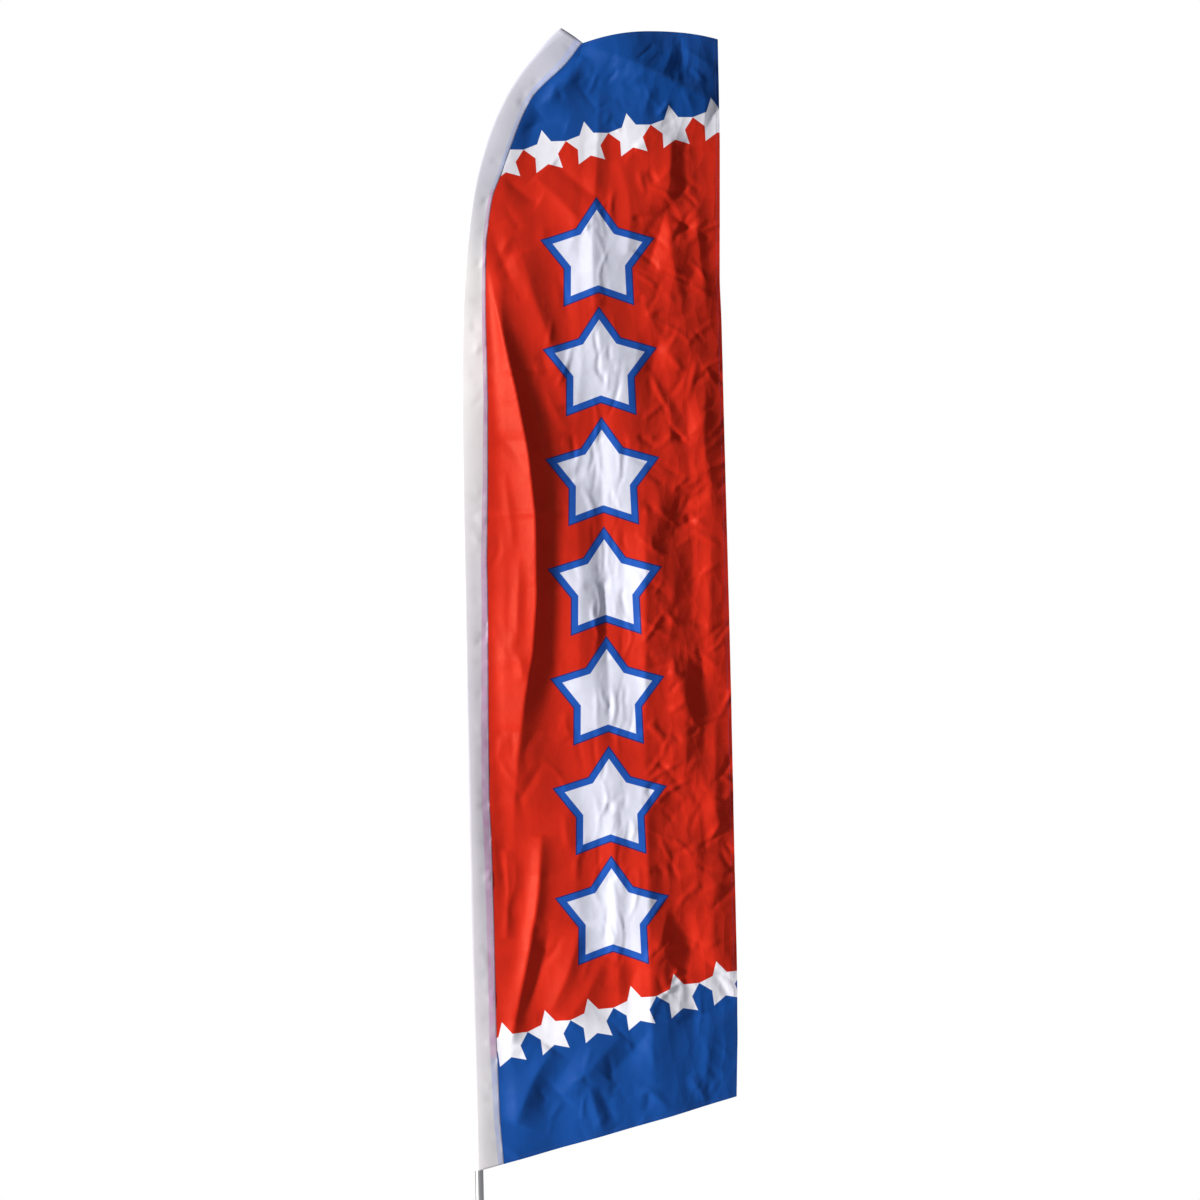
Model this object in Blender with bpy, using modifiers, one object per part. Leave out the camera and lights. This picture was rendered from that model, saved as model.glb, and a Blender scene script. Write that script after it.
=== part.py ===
"""Feather flag on a sectional pole with a turning ground spike, in metres with +Z up.

The origin is on the spike's axis at ground level. The cloth hangs in the XZ plane, from
the pole towards +X, and its printed front faces -Y. Lengths along the pole are measured
from the ground up its centreline, which is straight and then bends over towards +X.
"""

import math

import bmesh
import bpy
from mathutils import Matrix, Vector

GAP = 0.0003  # clearance between neighbouring solids
TURNED_STEPS = 32  # facets round a turned piece
TUBE_ROUNDING = 10  # bevel resolution of the pole's tubes: 24 sides
ROD_ROUNDING = 4  # and of its thin rods: 12 sides

# The pole's centreline
POLE_TOP = 4.575
BEND_START = 2.233
BEND_ANGLE = math.radians(58)  # lean of the tip from the vertical
BEND_POWER = 5.6  # the lean grows with this power of the length, as in a tapering rod
BEND_STEP = 0.01
TUBE_PITCH = 0.09  # spacing of the points that follow the bend, on the upper tube
ROD_PITCH = 0.03  # and on the rods of the tip, where it is tighter

# Ground spike
PLATE_RADIUS = 0.055
PLATE_THICKNESS = 0.006
SHAFT_RADIUS = 0.008
SPIKE_DEPTH = 0.400
POINT_LENGTH = 0.065
FIN_SPAN = 0.046
FIN_THICKNESS = 0.003
FIN_TOP = -0.045
FIN_BOTTOM = -0.205
FIN_TIP_SHARE = 0.28  # width left at a fin's lower end

# Bearing housing and what is in it
HOUSING_RADIUS = 0.021
HOUSING_BASE = PLATE_THICKNESS + GAP
HOUSING_TOP = 0.040
HOUSING_FLOOR = 0.004
BORE_RADIUS = 0.016
BEARING_WIDTH = 0.009
BEARING_MIDDLE = 0.0185
RACE_WALL = 0.0028
BALL_PITCH_RADIUS = 0.0116
BALL_RADIUS = 0.0022
BALL_COUNT = 8
GROOVE_STEPS = 4
CAGE_HALF_WIDTH = 0.0008
CAGE_HALF_HEIGHT = 0.0012
JOURNAL_RADIUS = 0.0075
TOP_BUSH_BASE = 0.0285
SEAL_THICKNESS = 0.0016

# Spindle
FLANGE_RADIUS = 0.0185
FLANGE_BASE = HOUSING_TOP + SEAL_THICKNESS + 2 * GAP
FLANGE_TOP = FLANGE_BASE + 0.004
JOURNAL_BOTTOM = 0.0112
RING_GROOVE_TOP = 0.0134
RING_THICKNESS = 0.001
RING_GROOVE_RADIUS = 0.0066
MANDREL_RADIUS = 0.0095
MANDREL_TOP = 0.330
CHAMFER = 0.002

# Pole sections
TUBE_WALL = 0.0012
BASE_RADIUS = 0.0127
LOWER_RADIUS = 0.0111
UPPER_RADIUS = 0.0095
POLE_FOOT = FLANGE_TOP + GAP
BASE_END = 1.245
LOWER_START = 1.105
LOWER_END = 2.330
UPPER_START = 2.190
UPPER_END = 3.350
FERRULE_RADIUS = 0.0155
FERRULE_HEIGHT = 0.045
BUSH_LENGTH = 0.030
GUIDE_BUSH_BASE = 0.285
PLUG_START = 3.270
PLUG_RIM = 0.012
ROD_RADIUS = 0.0063
ROD_JOINT_RADIUS = 0.0047
ROD_TIP_RADIUS = 0.0030
ROD_START = 3.285
ROD_JOINT = 4.020
TIP_FERRULE_HALF = 0.070
TIP_FERRULE_WALL = 0.0010
CAP_RADIUS = 0.0055
CAP_LENGTH = 0.022
CAP_ROOF = 0.004

# Spring buttons that lock one section in the next
BUTTON_RADIUS = 0.0030
BUTTON_HEIGHTS = {"lower": 1.175, "upper": 2.260}
BUTTON_PROUD = 0.0010  # how far the dome stands out of the outer tube
BUTTON_RIM_RADIUS = 0.0042
BUTTON_RIM_THICKNESS = 0.0008
STEM_RADIUS = 0.0016
STEM_LENGTH = 0.0062
SPRING_STRIP = 0.0005
SPRING_WIDTH = 0.0070
SPRING_LENGTH = 0.052
SPRING_EYE_DEPTH = 0.0055  # from the inner tube's wall to the leg that carries the stem

# Cloth
SLEEVE_BOTTOM = 1.000
SLEEVE_TOP = 4.588
SLEEVE_ROUND = 0.0142  # outer radius of the sleeve round the pole
SEAM_OFFSET = 0.0660  # from the pole's axis to the seam
SEAM_HALF_THICKNESS = 0.0013
SLEEVE_CLOTH = 0.0006
SLEEVE_ARC_STEPS = 9
POCKET_STEPS = 2
POCKET_NOSE_SHARE = 0.62
POCKET_MARGIN = 0.0005
TAPE_WIDTH = 0.012
TAPE_THICKNESS = 0.0006
PANEL_CLOTH = 0.0006
CLOTH_STEPS = 44  # rows of the panel and the sleeve, which share them along the seam
PANEL_COLUMNS = 12
PANEL_BOTTOM_LEFT = 1.011
PANEL_BOTTOM_RIGHT = 1.200
FLY_EDGE_BOTTOM = 0.802
FLY_EDGE_TOP = 0.814
FLY_CORNER_HEIGHT = 4.467
TOP_EDGE_RISE = 0.029
FOLD_DEPTH = 0.012
FOLD_LEAN = 0.16  # how far the folds lean over, in metres across per metre up
FOLD_PITCH = 0.24
FOLD_REACH = 0.30  # distance from the seam at which they reach their full depth

COLOURS = {
    "zinc_steel": ((0.45, 0.46, 0.47), 0.38, 1.0),
    "bearing_steel": ((0.62, 0.62, 0.63), 0.22, 1.0),
    "black_rubber": ((0.015, 0.015, 0.016), 0.75, 0.0),
    "nylon": ((0.62, 0.60, 0.55), 0.5, 0.0),
    "anodised_tube": ((0.66, 0.67, 0.68), 0.32, 1.0),
    "black_plastic": ((0.02, 0.02, 0.022), 0.45, 0.0),
    "spring_steel": ((0.50, 0.50, 0.50), 0.3, 1.0),
    "fibreglass": ((0.80, 0.79, 0.74), 0.4, 0.0),
    "white_cloth": ((0.86, 0.86, 0.88), 0.85, 0.0),
    "printed_cloth": ((0.56, 0.012, 0.016), 0.85, 0.0),
    "webbing": ((0.78, 0.78, 0.80), 0.9, 0.0),
}


# --- scene helpers ------------------------------------------------------------------


def clear_scene():
    for obj in list(bpy.data.objects):
        bpy.data.objects.remove(obj, do_unlink=True)


def new_collection(name, hidden=False):
    collection = bpy.data.collections.new(name)
    collection.hide_render = hidden
    bpy.context.scene.collection.children.link(collection)
    return collection


def material(name):
    found = bpy.data.materials.get(name)
    if found:
        return found
    colour, roughness, metallic = COLOURS[name]
    made = bpy.data.materials.new(name)
    made.use_nodes = True
    shader = made.node_tree.nodes["Principled BSDF"]
    shader.inputs["Base Color"].default_value = (*colour, 1.0)
    shader.inputs["Roughness"].default_value = roughness
    shader.inputs["Metallic"].default_value = metallic
    return made


def add_part(name, data, finish):
    obj = bpy.data.objects.new(name, data)
    data.materials.append(material(finish))
    PARTS.objects.link(obj)
    return obj


def add_cutter(name, mesh):
    obj = bpy.data.objects.new(name, mesh)
    obj.hide_render = True
    obj.display_type = "WIRE"
    CUTTERS.objects.link(obj)
    return obj


def boolean(obj, cutter, operation):
    modifier = obj.modifiers.new(cutter.name, "BOOLEAN")
    modifier.operation = operation
    modifier.object = cutter


def solidify(obj, thickness, offset=-1.0):
    modifier = obj.modifiers.new("thickness", "SOLIDIFY")
    modifier.thickness = thickness
    modifier.offset = offset


# --- shape helpers ------------------------------------------------------------------


def turned(name, profile, finish, ring=False):
    """A profile of (radius, height) points, running down its outer side, turned about Z."""
    mesh = bpy.data.meshes.new(name)
    points = [(radius, 0.0, height) for radius, height in profile]
    edges = [(i, i + 1) for i in range(len(points) - 1)]
    if ring:
        edges.append((len(points) - 1, 0))
    mesh.from_pydata(points, edges, [])
    obj = add_part(name, mesh, finish)
    screw = obj.modifiers.new("turn", "SCREW")
    screw.steps = TURNED_STEPS
    screw.render_steps = TURNED_STEPS
    screw.use_merge_vertices = True
    screw.merge_threshold = 0.00001
    screw.use_smooth_shade = False
    return obj


def ring_profile(inner, outer, bottom, top):
    return [(outer, top), (outer, bottom), (inner, bottom), (inner, top)]


def turned_ring(name, inner, outer, bottom, top, finish):
    return turned(name, ring_profile(inner, outer, bottom, top), finish, ring=True)


def loft(name, rings, finish, closed):
    """An open surface through rings of points; each ring joins up with itself if closed."""
    count = len(rings[0])
    mesh = bpy.data.meshes.new(name)
    points = [point for ring in rings for point in ring]
    faces = []
    for row in range(len(rings) - 1):
        for i in range(count if closed else count - 1):
            after = (i + 1) % count
            low = row * count
            high = low + count
            faces.append((low + i, low + after, high + after, high + i))
    mesh.from_pydata(points, [], faces)
    return add_part(name, mesh, finish)


def cylinder_mesh(name, radius, length, rounding=24):
    """A cylinder along X, from x = 0 to its length."""
    mesh = bpy.data.meshes.new(name)
    shape = bmesh.new()
    bmesh.ops.create_cone(
        shape, cap_ends=True, segments=rounding, radius1=radius, radius2=radius, depth=length
    )
    bmesh.ops.translate(shape, verts=shape.verts, vec=(0, 0, length / 2))
    bmesh.ops.rotate(shape, verts=shape.verts, matrix=Matrix.Rotation(math.pi / 2, 3, "Y"))
    shape.to_mesh(mesh)
    shape.free()
    return mesh


# --- the pole's centreline ----------------------------------------------------------


def lean(along):
    """The centreline's angle from the vertical at this length along the pole."""
    share = max(0.0, along - BEND_START) / (POLE_TOP - BEND_START)
    return BEND_ANGLE * share**BEND_POWER


def pole_point(along):
    bent = max(0.0, along - BEND_START)
    steps = math.ceil(bent / BEND_STEP)
    point = Vector((0.0, 0.0, min(along, BEND_START)))
    for i in range(steps):
        angle = lean(BEND_START + (i + 0.5) * bent / steps)
        point += Vector((math.sin(angle), 0.0, math.cos(angle))) * (bent / steps)
    return point


def beside_pole(along, right, back=0.0):
    """A point this far to the right of the centreline, square to it, and this far back."""
    angle = lean(along)
    return pole_point(along) + Vector((math.cos(angle) * right, back, -math.sin(angle) * right))


def stations(start, end, pitch):
    """Lengths along the pole from start to end: one straight run, then steps round the bend."""
    first = max(start, BEND_START)
    if end <= BEND_START:
        return [start, end]
    count = max(1, round((end - first) / pitch))
    bent = [first + (end - first) * i / count for i in range(count + 1)]
    return bent if start >= BEND_START else [start, *bent]


def pole_curve(name, start, end, radii, pitch):
    """A round surface along the centreline, whose radius runs from the first to the second."""
    curve = bpy.data.curves.new(name, "CURVE")
    curve.dimensions = "3D"
    curve.bevel_depth = 1.0
    curve.use_fill_caps = False
    lengths = stations(start, end, pitch)
    spline = curve.splines.new("POLY")
    spline.points.add(len(lengths) - 1)
    for point, along in zip(spline.points, lengths):
        share = (along - start) / (end - start)
        point.co = (*pole_point(along), 1.0)
        point.radius = radii[0] + (radii[1] - radii[0]) * share
    return curve


def pole_rod(name, start, end, radii, finish):
    curve = pole_curve(name, start, end, radii, ROD_PITCH)
    curve.bevel_resolution = ROD_ROUNDING
    curve.use_fill_caps = True
    add_part(name, curve, finish)


def pole_tube(name, start, end, radius, wall, finish, holes=(), pitch=TUBE_PITCH):
    curve = pole_curve(name, start, end, (radius, radius), pitch)
    curve.bevel_resolution = TUBE_ROUNDING
    obj = add_part(name, curve, finish)
    solidify(obj, wall)
    if not holes:
        return
    bpy.context.view_layer.update()
    evaluated = obj.evaluated_get(bpy.context.evaluated_depsgraph_get())
    mesh = bpy.data.meshes.new_from_object(evaluated)
    shape = bmesh.new()
    shape.from_mesh(mesh)
    bmesh.ops.remove_doubles(shape, verts=shape.verts, dist=0.00001)
    shape.to_mesh(mesh)
    shape.free()
    place = obj.matrix_world.copy()
    curve = obj.data
    bpy.data.objects.remove(obj, do_unlink=True)
    bpy.data.curves.remove(curve)
    mesh.materials.clear()
    cut = add_part(name, mesh, finish)
    cut.matrix_world = place
    for number, height in enumerate(holes):
        label = f"{name}_hole_{number}"
        drill = add_cutter(label, cylinder_mesh(label, BUTTON_RADIUS + GAP, BASE_RADIUS * 2))
        drill.location = (0, 0, height)
        boolean(cut, drill, "DIFFERENCE")


# --- ground spike -------------------------------------------------------------------


def fin_mesh(name):
    mesh = bpy.data.meshes.new(name)
    shape = bmesh.new()
    bmesh.ops.create_cube(shape, size=1.0)
    height = FIN_TOP - FIN_BOTTOM
    bmesh.ops.scale(shape, verts=shape.verts, vec=(FIN_SPAN, FIN_THICKNESS, height))
    for vertex in shape.verts:
        if vertex.co.z < 0:
            vertex.co.x *= FIN_TIP_SHARE
    bmesh.ops.translate(shape, verts=shape.verts, vec=(0, 0, (FIN_TOP + FIN_BOTTOM) / 2))
    shape.to_mesh(mesh)
    shape.free()
    return mesh


def make_spike():
    shaft_top = PLATE_THICKNESS - GAP
    profile = [
        (0, shaft_top),
        (SHAFT_RADIUS, shaft_top),
        (SHAFT_RADIUS, POINT_LENGTH - SPIKE_DEPTH),
        (0, -SPIKE_DEPTH),
    ]
    shaft = turned("spike_shaft", profile, "zinc_steel")
    for number in range(2):
        label = f"fin_{number}"
        fin = add_cutter(label, fin_mesh(label))
        fin.rotation_euler.z = math.radians(45 + 90 * number)
        boolean(shaft, fin, "UNION")
    edge = 0.001
    hole = SHAFT_RADIUS + GAP
    plate = [
        (PLATE_RADIUS - edge, PLATE_THICKNESS),
        (PLATE_RADIUS, PLATE_THICKNESS - edge),
        (PLATE_RADIUS, 0),
        (hole, 0),
        (hole, PLATE_THICKNESS),
    ]
    turned("foot_plate", plate, "zinc_steel", ring=True)


def make_housing():
    floor = HOUSING_BASE + HOUSING_FLOOR
    profile = [
        (BORE_RADIUS, HOUSING_TOP),
        (HOUSING_RADIUS, HOUSING_TOP),
        (HOUSING_RADIUS, HOUSING_BASE),
        (0, HOUSING_BASE),
    ]
    cup = [(0, floor), (BORE_RADIUS, floor), *profile]
    turned("bearing_housing", cup, "zinc_steel")
    outer = BORE_RADIUS - GAP
    inner = JOURNAL_RADIUS + GAP
    turned_ring("top_bush", inner, outer, TOP_BUSH_BASE, HOUSING_TOP - GAP, "nylon")
    seal_base = HOUSING_TOP + GAP
    seal_top = seal_base + SEAL_THICKNESS
    turned_ring("dust_seal", inner, HOUSING_RADIUS - 0.001, seal_base, seal_top, "black_rubber")


def race_profile(wall_radius, groove_side):
    """A bearing race: a plain wall on one side and a half-round groove for the balls."""
    bottom = BEARING_MIDDLE - BEARING_WIDTH / 2
    top = BEARING_MIDDLE + BEARING_WIDTH / 2
    track = wall_radius - groove_side * (RACE_WALL - GAP)
    groove_radius = BALL_RADIUS + GAP
    reach = math.acos(abs(track - BALL_PITCH_RADIUS) / groove_radius)
    groove = []
    for i in range(GROOVE_STEPS + 1):
        angle = reach * (2 * i / GROOVE_STEPS - 1)
        radius = BALL_PITCH_RADIUS + groove_side * groove_radius * math.cos(angle)
        groove.append((radius, BEARING_MIDDLE + groove_radius * math.sin(angle)))
    if groove_side > 0:
        return [(wall_radius, top), (wall_radius, bottom), (track, bottom), *groove, (track, top)]
    return [(track, top), *reversed(groove), (track, bottom), (wall_radius, bottom), (wall_radius, top)]


def make_bearing():
    outer = race_profile(BORE_RADIUS - GAP, 1)
    inner = race_profile(JOURNAL_RADIUS + GAP, -1)
    turned("bearing_outer_race", outer, "bearing_steel", ring=True)
    turned("bearing_inner_race", inner, "bearing_steel", ring=True)
    cage = turned_ring(
        "ball_cage",
        BALL_PITCH_RADIUS - CAGE_HALF_WIDTH,
        BALL_PITCH_RADIUS + CAGE_HALF_WIDTH,
        BEARING_MIDDLE - CAGE_HALF_HEIGHT,
        BEARING_MIDDLE + CAGE_HALF_HEIGHT,
        "bearing_steel",
    )
    mesh = bpy.data.meshes.new("balls")
    shape = bmesh.new()
    for i in range(BALL_COUNT):
        turn = 2 * math.pi * (i + 0.5) / BALL_COUNT
        centre = Vector((math.cos(turn), math.sin(turn), 0)) * BALL_PITCH_RADIUS
        place = Matrix.Translation(centre + Vector((0, 0, BEARING_MIDDLE)))
        bmesh.ops.create_uvsphere(
            shape, u_segments=10, v_segments=6, radius=BALL_RADIUS, matrix=place
        )
    shape.to_mesh(mesh)
    shape.free()
    boolean(cage, add_cutter("balls", mesh), "UNION")


def make_spindle():
    profile = [
        (0, MANDREL_TOP),
        (MANDREL_RADIUS - CHAMFER, MANDREL_TOP),
        (MANDREL_RADIUS, MANDREL_TOP - CHAMFER),
        (MANDREL_RADIUS, FLANGE_TOP),
        (FLANGE_RADIUS, FLANGE_TOP),
        (FLANGE_RADIUS, FLANGE_BASE),
        (JOURNAL_RADIUS, FLANGE_BASE),
        (JOURNAL_RADIUS, RING_GROOVE_TOP),
        (RING_GROOVE_RADIUS, RING_GROOVE_TOP),
        (RING_GROOVE_RADIUS, RING_GROOVE_TOP - RING_THICKNESS - GAP),
        (JOURNAL_RADIUS, RING_GROOVE_TOP - RING_THICKNESS - GAP),
        (JOURNAL_RADIUS, JOURNAL_BOTTOM),
        (0, JOURNAL_BOTTOM),
    ]
    turned("spindle", profile, "zinc_steel")
    make_retaining_ring()


def arc_points(radius, start, end, steps):
    angles = [start + (end - start) * i / steps for i in range(steps + 1)]
    return [(radius * math.cos(angle), radius * math.sin(angle)) for angle in angles]


def flat_outline(name, outline, thickness, finish):
    """A flat piece in the XY plane: a filled outline, extruded to both sides."""
    curve = bpy.data.curves.new(name, "CURVE")
    curve.dimensions = "2D"
    curve.fill_mode = "BOTH"
    curve.extrude = thickness / 2
    spline = curve.splines.new("POLY")
    spline.points.add(len(outline) - 1)
    for point, (x, y) in zip(spline.points, outline):
        point.co = (x, y, 0.0, 1.0)
    spline.use_cyclic_u = True
    return add_part(name, curve, finish)


def make_retaining_ring():
    """The open ring that holds the journal down, in its groove under the inner race."""
    inner = RING_GROOVE_RADIUS + GAP
    outer = JOURNAL_RADIUS + 0.0018
    mouth = math.radians(24)
    outline = arc_points(outer, mouth, 2 * math.pi - mouth, 20)
    outline += arc_points(inner, 2 * math.pi - mouth, mouth, 20)
    clip = flat_outline("retaining_ring", outline, RING_THICKNESS - GAP, "spring_steel")
    clip.location.z = RING_GROOVE_TOP - GAP / 2 - RING_THICKNESS / 2


# --- pole ---------------------------------------------------------------------------


def make_pole_foot():
    bush_outer = BASE_RADIUS - TUBE_WALL - GAP
    bush_inner = MANDREL_RADIUS + GAP
    bush_base = POLE_FOOT + GAP
    for name, base in (("base_bush", bush_base), ("guide_bush", GUIDE_BUSH_BASE)):
        turned_ring(name, bush_inner, bush_outer, base, base + BUSH_LENGTH, "nylon")
    lip = 0.0015
    ferrule = [
        (BASE_RADIUS + GAP, POLE_FOOT + FERRULE_HEIGHT),
        (FERRULE_RADIUS - lip, POLE_FOOT + FERRULE_HEIGHT),
        (FERRULE_RADIUS, POLE_FOOT + FERRULE_HEIGHT - lip),
        (FERRULE_RADIUS, POLE_FOOT),
        (BASE_RADIUS + GAP, POLE_FOOT),
    ]
    turned("base_ferrule", ferrule, "black_plastic", ring=True)


def make_pole_tubes():
    low, high = BUTTON_HEIGHTS["lower"], BUTTON_HEIGHTS["upper"]
    finish = "anodised_tube"
    pole_tube("pole_base_tube", POLE_FOOT, BASE_END, BASE_RADIUS, TUBE_WALL, finish, (low,))
    pole_tube(
        "pole_lower_tube", LOWER_START, LOWER_END, LOWER_RADIUS, TUBE_WALL, finish, (low, high)
    )
    pole_tube(
        "pole_upper_tube", UPPER_START, UPPER_END, UPPER_RADIUS, TUBE_WALL, finish, (high,)
    )


def make_pole_tip():
    plug_radius = UPPER_RADIUS - TUBE_WALL - GAP
    plug_wall = plug_radius - ROD_RADIUS - GAP
    pole_tube("rod_plug", PLUG_START, UPPER_END - GAP, plug_radius, plug_wall, "black_plastic")
    rim_wall = UPPER_RADIUS - ROD_RADIUS - GAP
    rim_base = UPPER_END + GAP
    pole_tube("plug_rim", rim_base, rim_base + PLUG_RIM, UPPER_RADIUS, rim_wall, "black_plastic")
    radii = (ROD_RADIUS, ROD_JOINT_RADIUS)
    pole_rod("tip_rod_lower", ROD_START, ROD_JOINT - GAP, radii, "fibreglass")
    ferrule_inner = rod_radius(ROD_JOINT - TIP_FERRULE_HALF) + 2 * GAP
    pole_tube(
        "tip_ferrule",
        ROD_JOINT - TIP_FERRULE_HALF,
        ROD_JOINT + TIP_FERRULE_HALF,
        ferrule_inner + TIP_FERRULE_WALL,
        TIP_FERRULE_WALL,
        "bearing_steel",
        pitch=ROD_PITCH,
    )
    radii = (ROD_JOINT_RADIUS, ROD_TIP_RADIUS)
    rod_end = POLE_TOP - CAP_ROOF - GAP
    pole_rod("tip_rod_upper", ROD_JOINT + GAP, rod_end, radii, "fibreglass")
    make_tip_cap()


def rod_radius(along):
    share = (along - ROD_START) / (ROD_JOINT - ROD_START)
    return ROD_RADIUS + (ROD_JOINT_RADIUS - ROD_RADIUS) * share


def make_tip_cap():
    """The rubber cap on the rod's end: a cup that opens downwards."""
    bore = ROD_TIP_RADIUS + 2.5 * GAP
    edge = 0.0015
    profile = [
        (0, 0),
        (CAP_RADIUS - edge, 0),
        (CAP_RADIUS, -edge),
        (CAP_RADIUS, -CAP_LENGTH),
        (bore, -CAP_LENGTH),
        (bore, -CAP_ROOF),
        (0, -CAP_ROOF),
    ]
    cap = turned("tip_cap", profile, "black_rubber")
    cap.location = pole_point(POLE_TOP)
    cap.rotation_euler.y = lean(POLE_TOP - CAP_LENGTH / 2)


def make_snap_button(name, height, inner_tube_radius, outer_tube_radius):
    """A domed button on +X with a rim inside the inner tube and a stem behind the rim."""
    wall_inside = inner_tube_radius - TUBE_WALL
    face = outer_tube_radius + BUTTON_PROUD
    rim_front = math.sqrt(wall_inside**2 - BUTTON_RIM_RADIUS**2) - GAP
    rim_back = rim_front - BUTTON_RIM_THICKNESS
    dome = 0.0012
    profile = [
        (0, face),
        (BUTTON_RADIUS * 0.55, face - dome * 0.25),
        (BUTTON_RADIUS * 0.9, face - dome * 0.7),
        (BUTTON_RADIUS, face - dome),
        (BUTTON_RADIUS, rim_front),
        (BUTTON_RIM_RADIUS, rim_front),
        (BUTTON_RIM_RADIUS, rim_back),
        (STEM_RADIUS, rim_back),
        (STEM_RADIUS, rim_back - STEM_LENGTH),
        (0, rim_back - STEM_LENGTH),
    ]
    button = turned(f"snap_button_{name}", profile, "spring_steel")
    button.rotation_euler.y = math.pi / 2
    button.location.z = height


def make_snap_spring(name, height, inner_tube_radius):
    """A V of spring strip inside the tube, whose front leg has an eye for the stem."""
    wall = inner_tube_radius - TUBE_WALL
    leg_top = height + SPRING_LENGTH * 0.25
    leg_bottom = height - SPRING_LENGTH * 0.75
    front = wall - SPRING_EYE_DEPTH
    back = -math.sqrt(wall**2 - (SPRING_WIDTH / 2) ** 2) + SPRING_STRIP + GAP
    bend = (front + back) / 2 - 0.0015
    path = [
        (front, leg_top),
        (front, height - SPRING_LENGTH * 0.2),
        (bend + 0.0012, leg_bottom + 0.0015),
        (bend, leg_bottom),
        (bend - 0.0012, leg_bottom + 0.0015),
        (back, height - SPRING_LENGTH * 0.2),
        (back, leg_top),
    ]
    rows = [
        [Vector((x, side * SPRING_WIDTH / 2, z)) for x, z in path]
        for side in (-1, 1)
    ]
    spring = loft(f"snap_spring_{name}", rows, "spring_steel", closed=False)
    solidify(spring, SPRING_STRIP, offset=0.0)
    label = f"spring_eye_{name}"
    drill = add_cutter(label, cylinder_mesh(label, STEM_RADIUS + GAP, wall))
    drill.location = (front - SPRING_STRIP * 2, 0, height)
    boolean(spring, drill, "DIFFERENCE")


def make_snap_joints():
    inner = {"lower": LOWER_RADIUS, "upper": UPPER_RADIUS}
    outer = {"lower": BASE_RADIUS, "upper": LOWER_RADIUS}
    for name, height in BUTTON_HEIGHTS.items():
        make_snap_button(name, height, inner[name], outer[name])
        make_snap_spring(name, height, inner[name])


# --- cloth --------------------------------------------------------------------------


def sleeve_ring(along, round_radius, nose_offset, nose_half):
    """The sleeve's cross-section: round the pole, then two layers that close on the seam."""
    meet = math.acos(round_radius / nose_offset)
    ring = []
    for i in range(SLEEVE_ARC_STEPS + 1):
        angle = meet + (2 * math.pi - 2 * meet) * i / SLEEVE_ARC_STEPS
        ring.append((round_radius * math.cos(angle), round_radius * math.sin(angle)))
    ring.append((nose_offset - nose_half, -nose_half))
    ring.append((nose_offset, 0.0))
    ring.append((nose_offset - nose_half, nose_half))
    return [beside_pole(along, right, back) for right, back in ring]


def cloth_length(step):
    """The length along the pole at one of the steps that the cloth pieces share."""
    return SLEEVE_BOTTOM + (SLEEVE_TOP - SLEEVE_BOTTOM) * step / CLOTH_STEPS


def make_sleeve():
    rings = [
        sleeve_ring(cloth_length(step), SLEEVE_ROUND, SEAM_OFFSET, SEAM_HALF_THICKNESS)
        for step in range(CLOTH_STEPS + 1)
    ]
    solidify(loft("pole_sleeve", rings, "white_cloth", closed=True), SLEEVE_CLOTH)


def make_tip_pocket():
    """A webbing pocket inside the sleeve's top: a short sleeve with its far end closed."""
    nose = SEAM_OFFSET * POCKET_NOSE_SHARE
    round_radius = SLEEVE_ROUND - SLEEVE_CLOTH - POCKET_MARGIN
    rings = [
        sleeve_ring(cloth_length(step), round_radius, nose, SEAM_HALF_THICKNESS)
        for step in range(CLOTH_STEPS - POCKET_STEPS, CLOTH_STEPS + 1)
    ]
    pocket = loft("sleeve_tip_pocket", rings, "webbing", closed=True)
    shape = bmesh.new()
    shape.from_mesh(pocket.data)
    shape.verts.ensure_lookup_table()
    count = len(rings[0])
    shape.faces.new(shape.verts[-count:])
    bmesh.ops.recalc_face_normals(shape, faces=shape.faces)
    shape.to_mesh(pocket.data)
    shape.free()
    solidify(pocket, SLEEVE_CLOTH)


def fold(x, z, from_seam):
    """How far the cloth stands forward or back of its plane: soft leaning folds."""
    freed = min(1.0, from_seam / FOLD_REACH)
    wave = math.sin(2 * math.pi * (x + FOLD_LEAN * z) / FOLD_PITCH)
    return FOLD_DEPTH * freed * wave


def panel_row(step):
    """One row of the panel, from the seam to the fly edge."""
    share = step / CLOTH_STEPS
    left = beside_pole(cloth_length(step), SEAM_OFFSET + GAP)
    if step == 0:
        left.z = PANEL_BOTTOM_LEFT
    right = Vector(
        (
            FLY_EDGE_BOTTOM + (FLY_EDGE_TOP - FLY_EDGE_BOTTOM) * share,
            0.0,
            PANEL_BOTTOM_RIGHT + (FLY_CORNER_HEIGHT - PANEL_BOTTOM_RIGHT) * share,
        )
    )
    rise = TOP_EDGE_RISE * max(0.0, share * 6 - 5)
    row = []
    for i in range(PANEL_COLUMNS + 1):
        across = i / PANEL_COLUMNS
        point = left.lerp(right, across)
        point.z += rise * 4 * across * (1 - across)
        point.y = fold(point.x, point.z, point.x - left.x)
        row.append(point)
    return row


def make_panel():
    rows = [panel_row(step) for step in range(CLOTH_STEPS + 1)]
    panel = loft("flag_panel", rows, "printed_cloth", closed=False)
    solidify(panel, PANEL_CLOTH, offset=0.0)


def make_seam_tape():
    """The binding behind the seam, over the panel's raw edge."""
    back = PANEL_CLOTH / 2 + GAP + TAPE_THICKNESS / 2 + 0.0008
    rows = []
    for step in range(1, CLOTH_STEPS):
        along = cloth_length(step)
        near = beside_pole(along, SEAM_OFFSET + GAP, back)
        rows.append([near, beside_pole(along, SEAM_OFFSET + GAP + TAPE_WIDTH, back)])
    tape = loft("seam_tape", rows, "webbing", closed=False)
    solidify(tape, TAPE_THICKNESS, offset=0.0)


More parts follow.
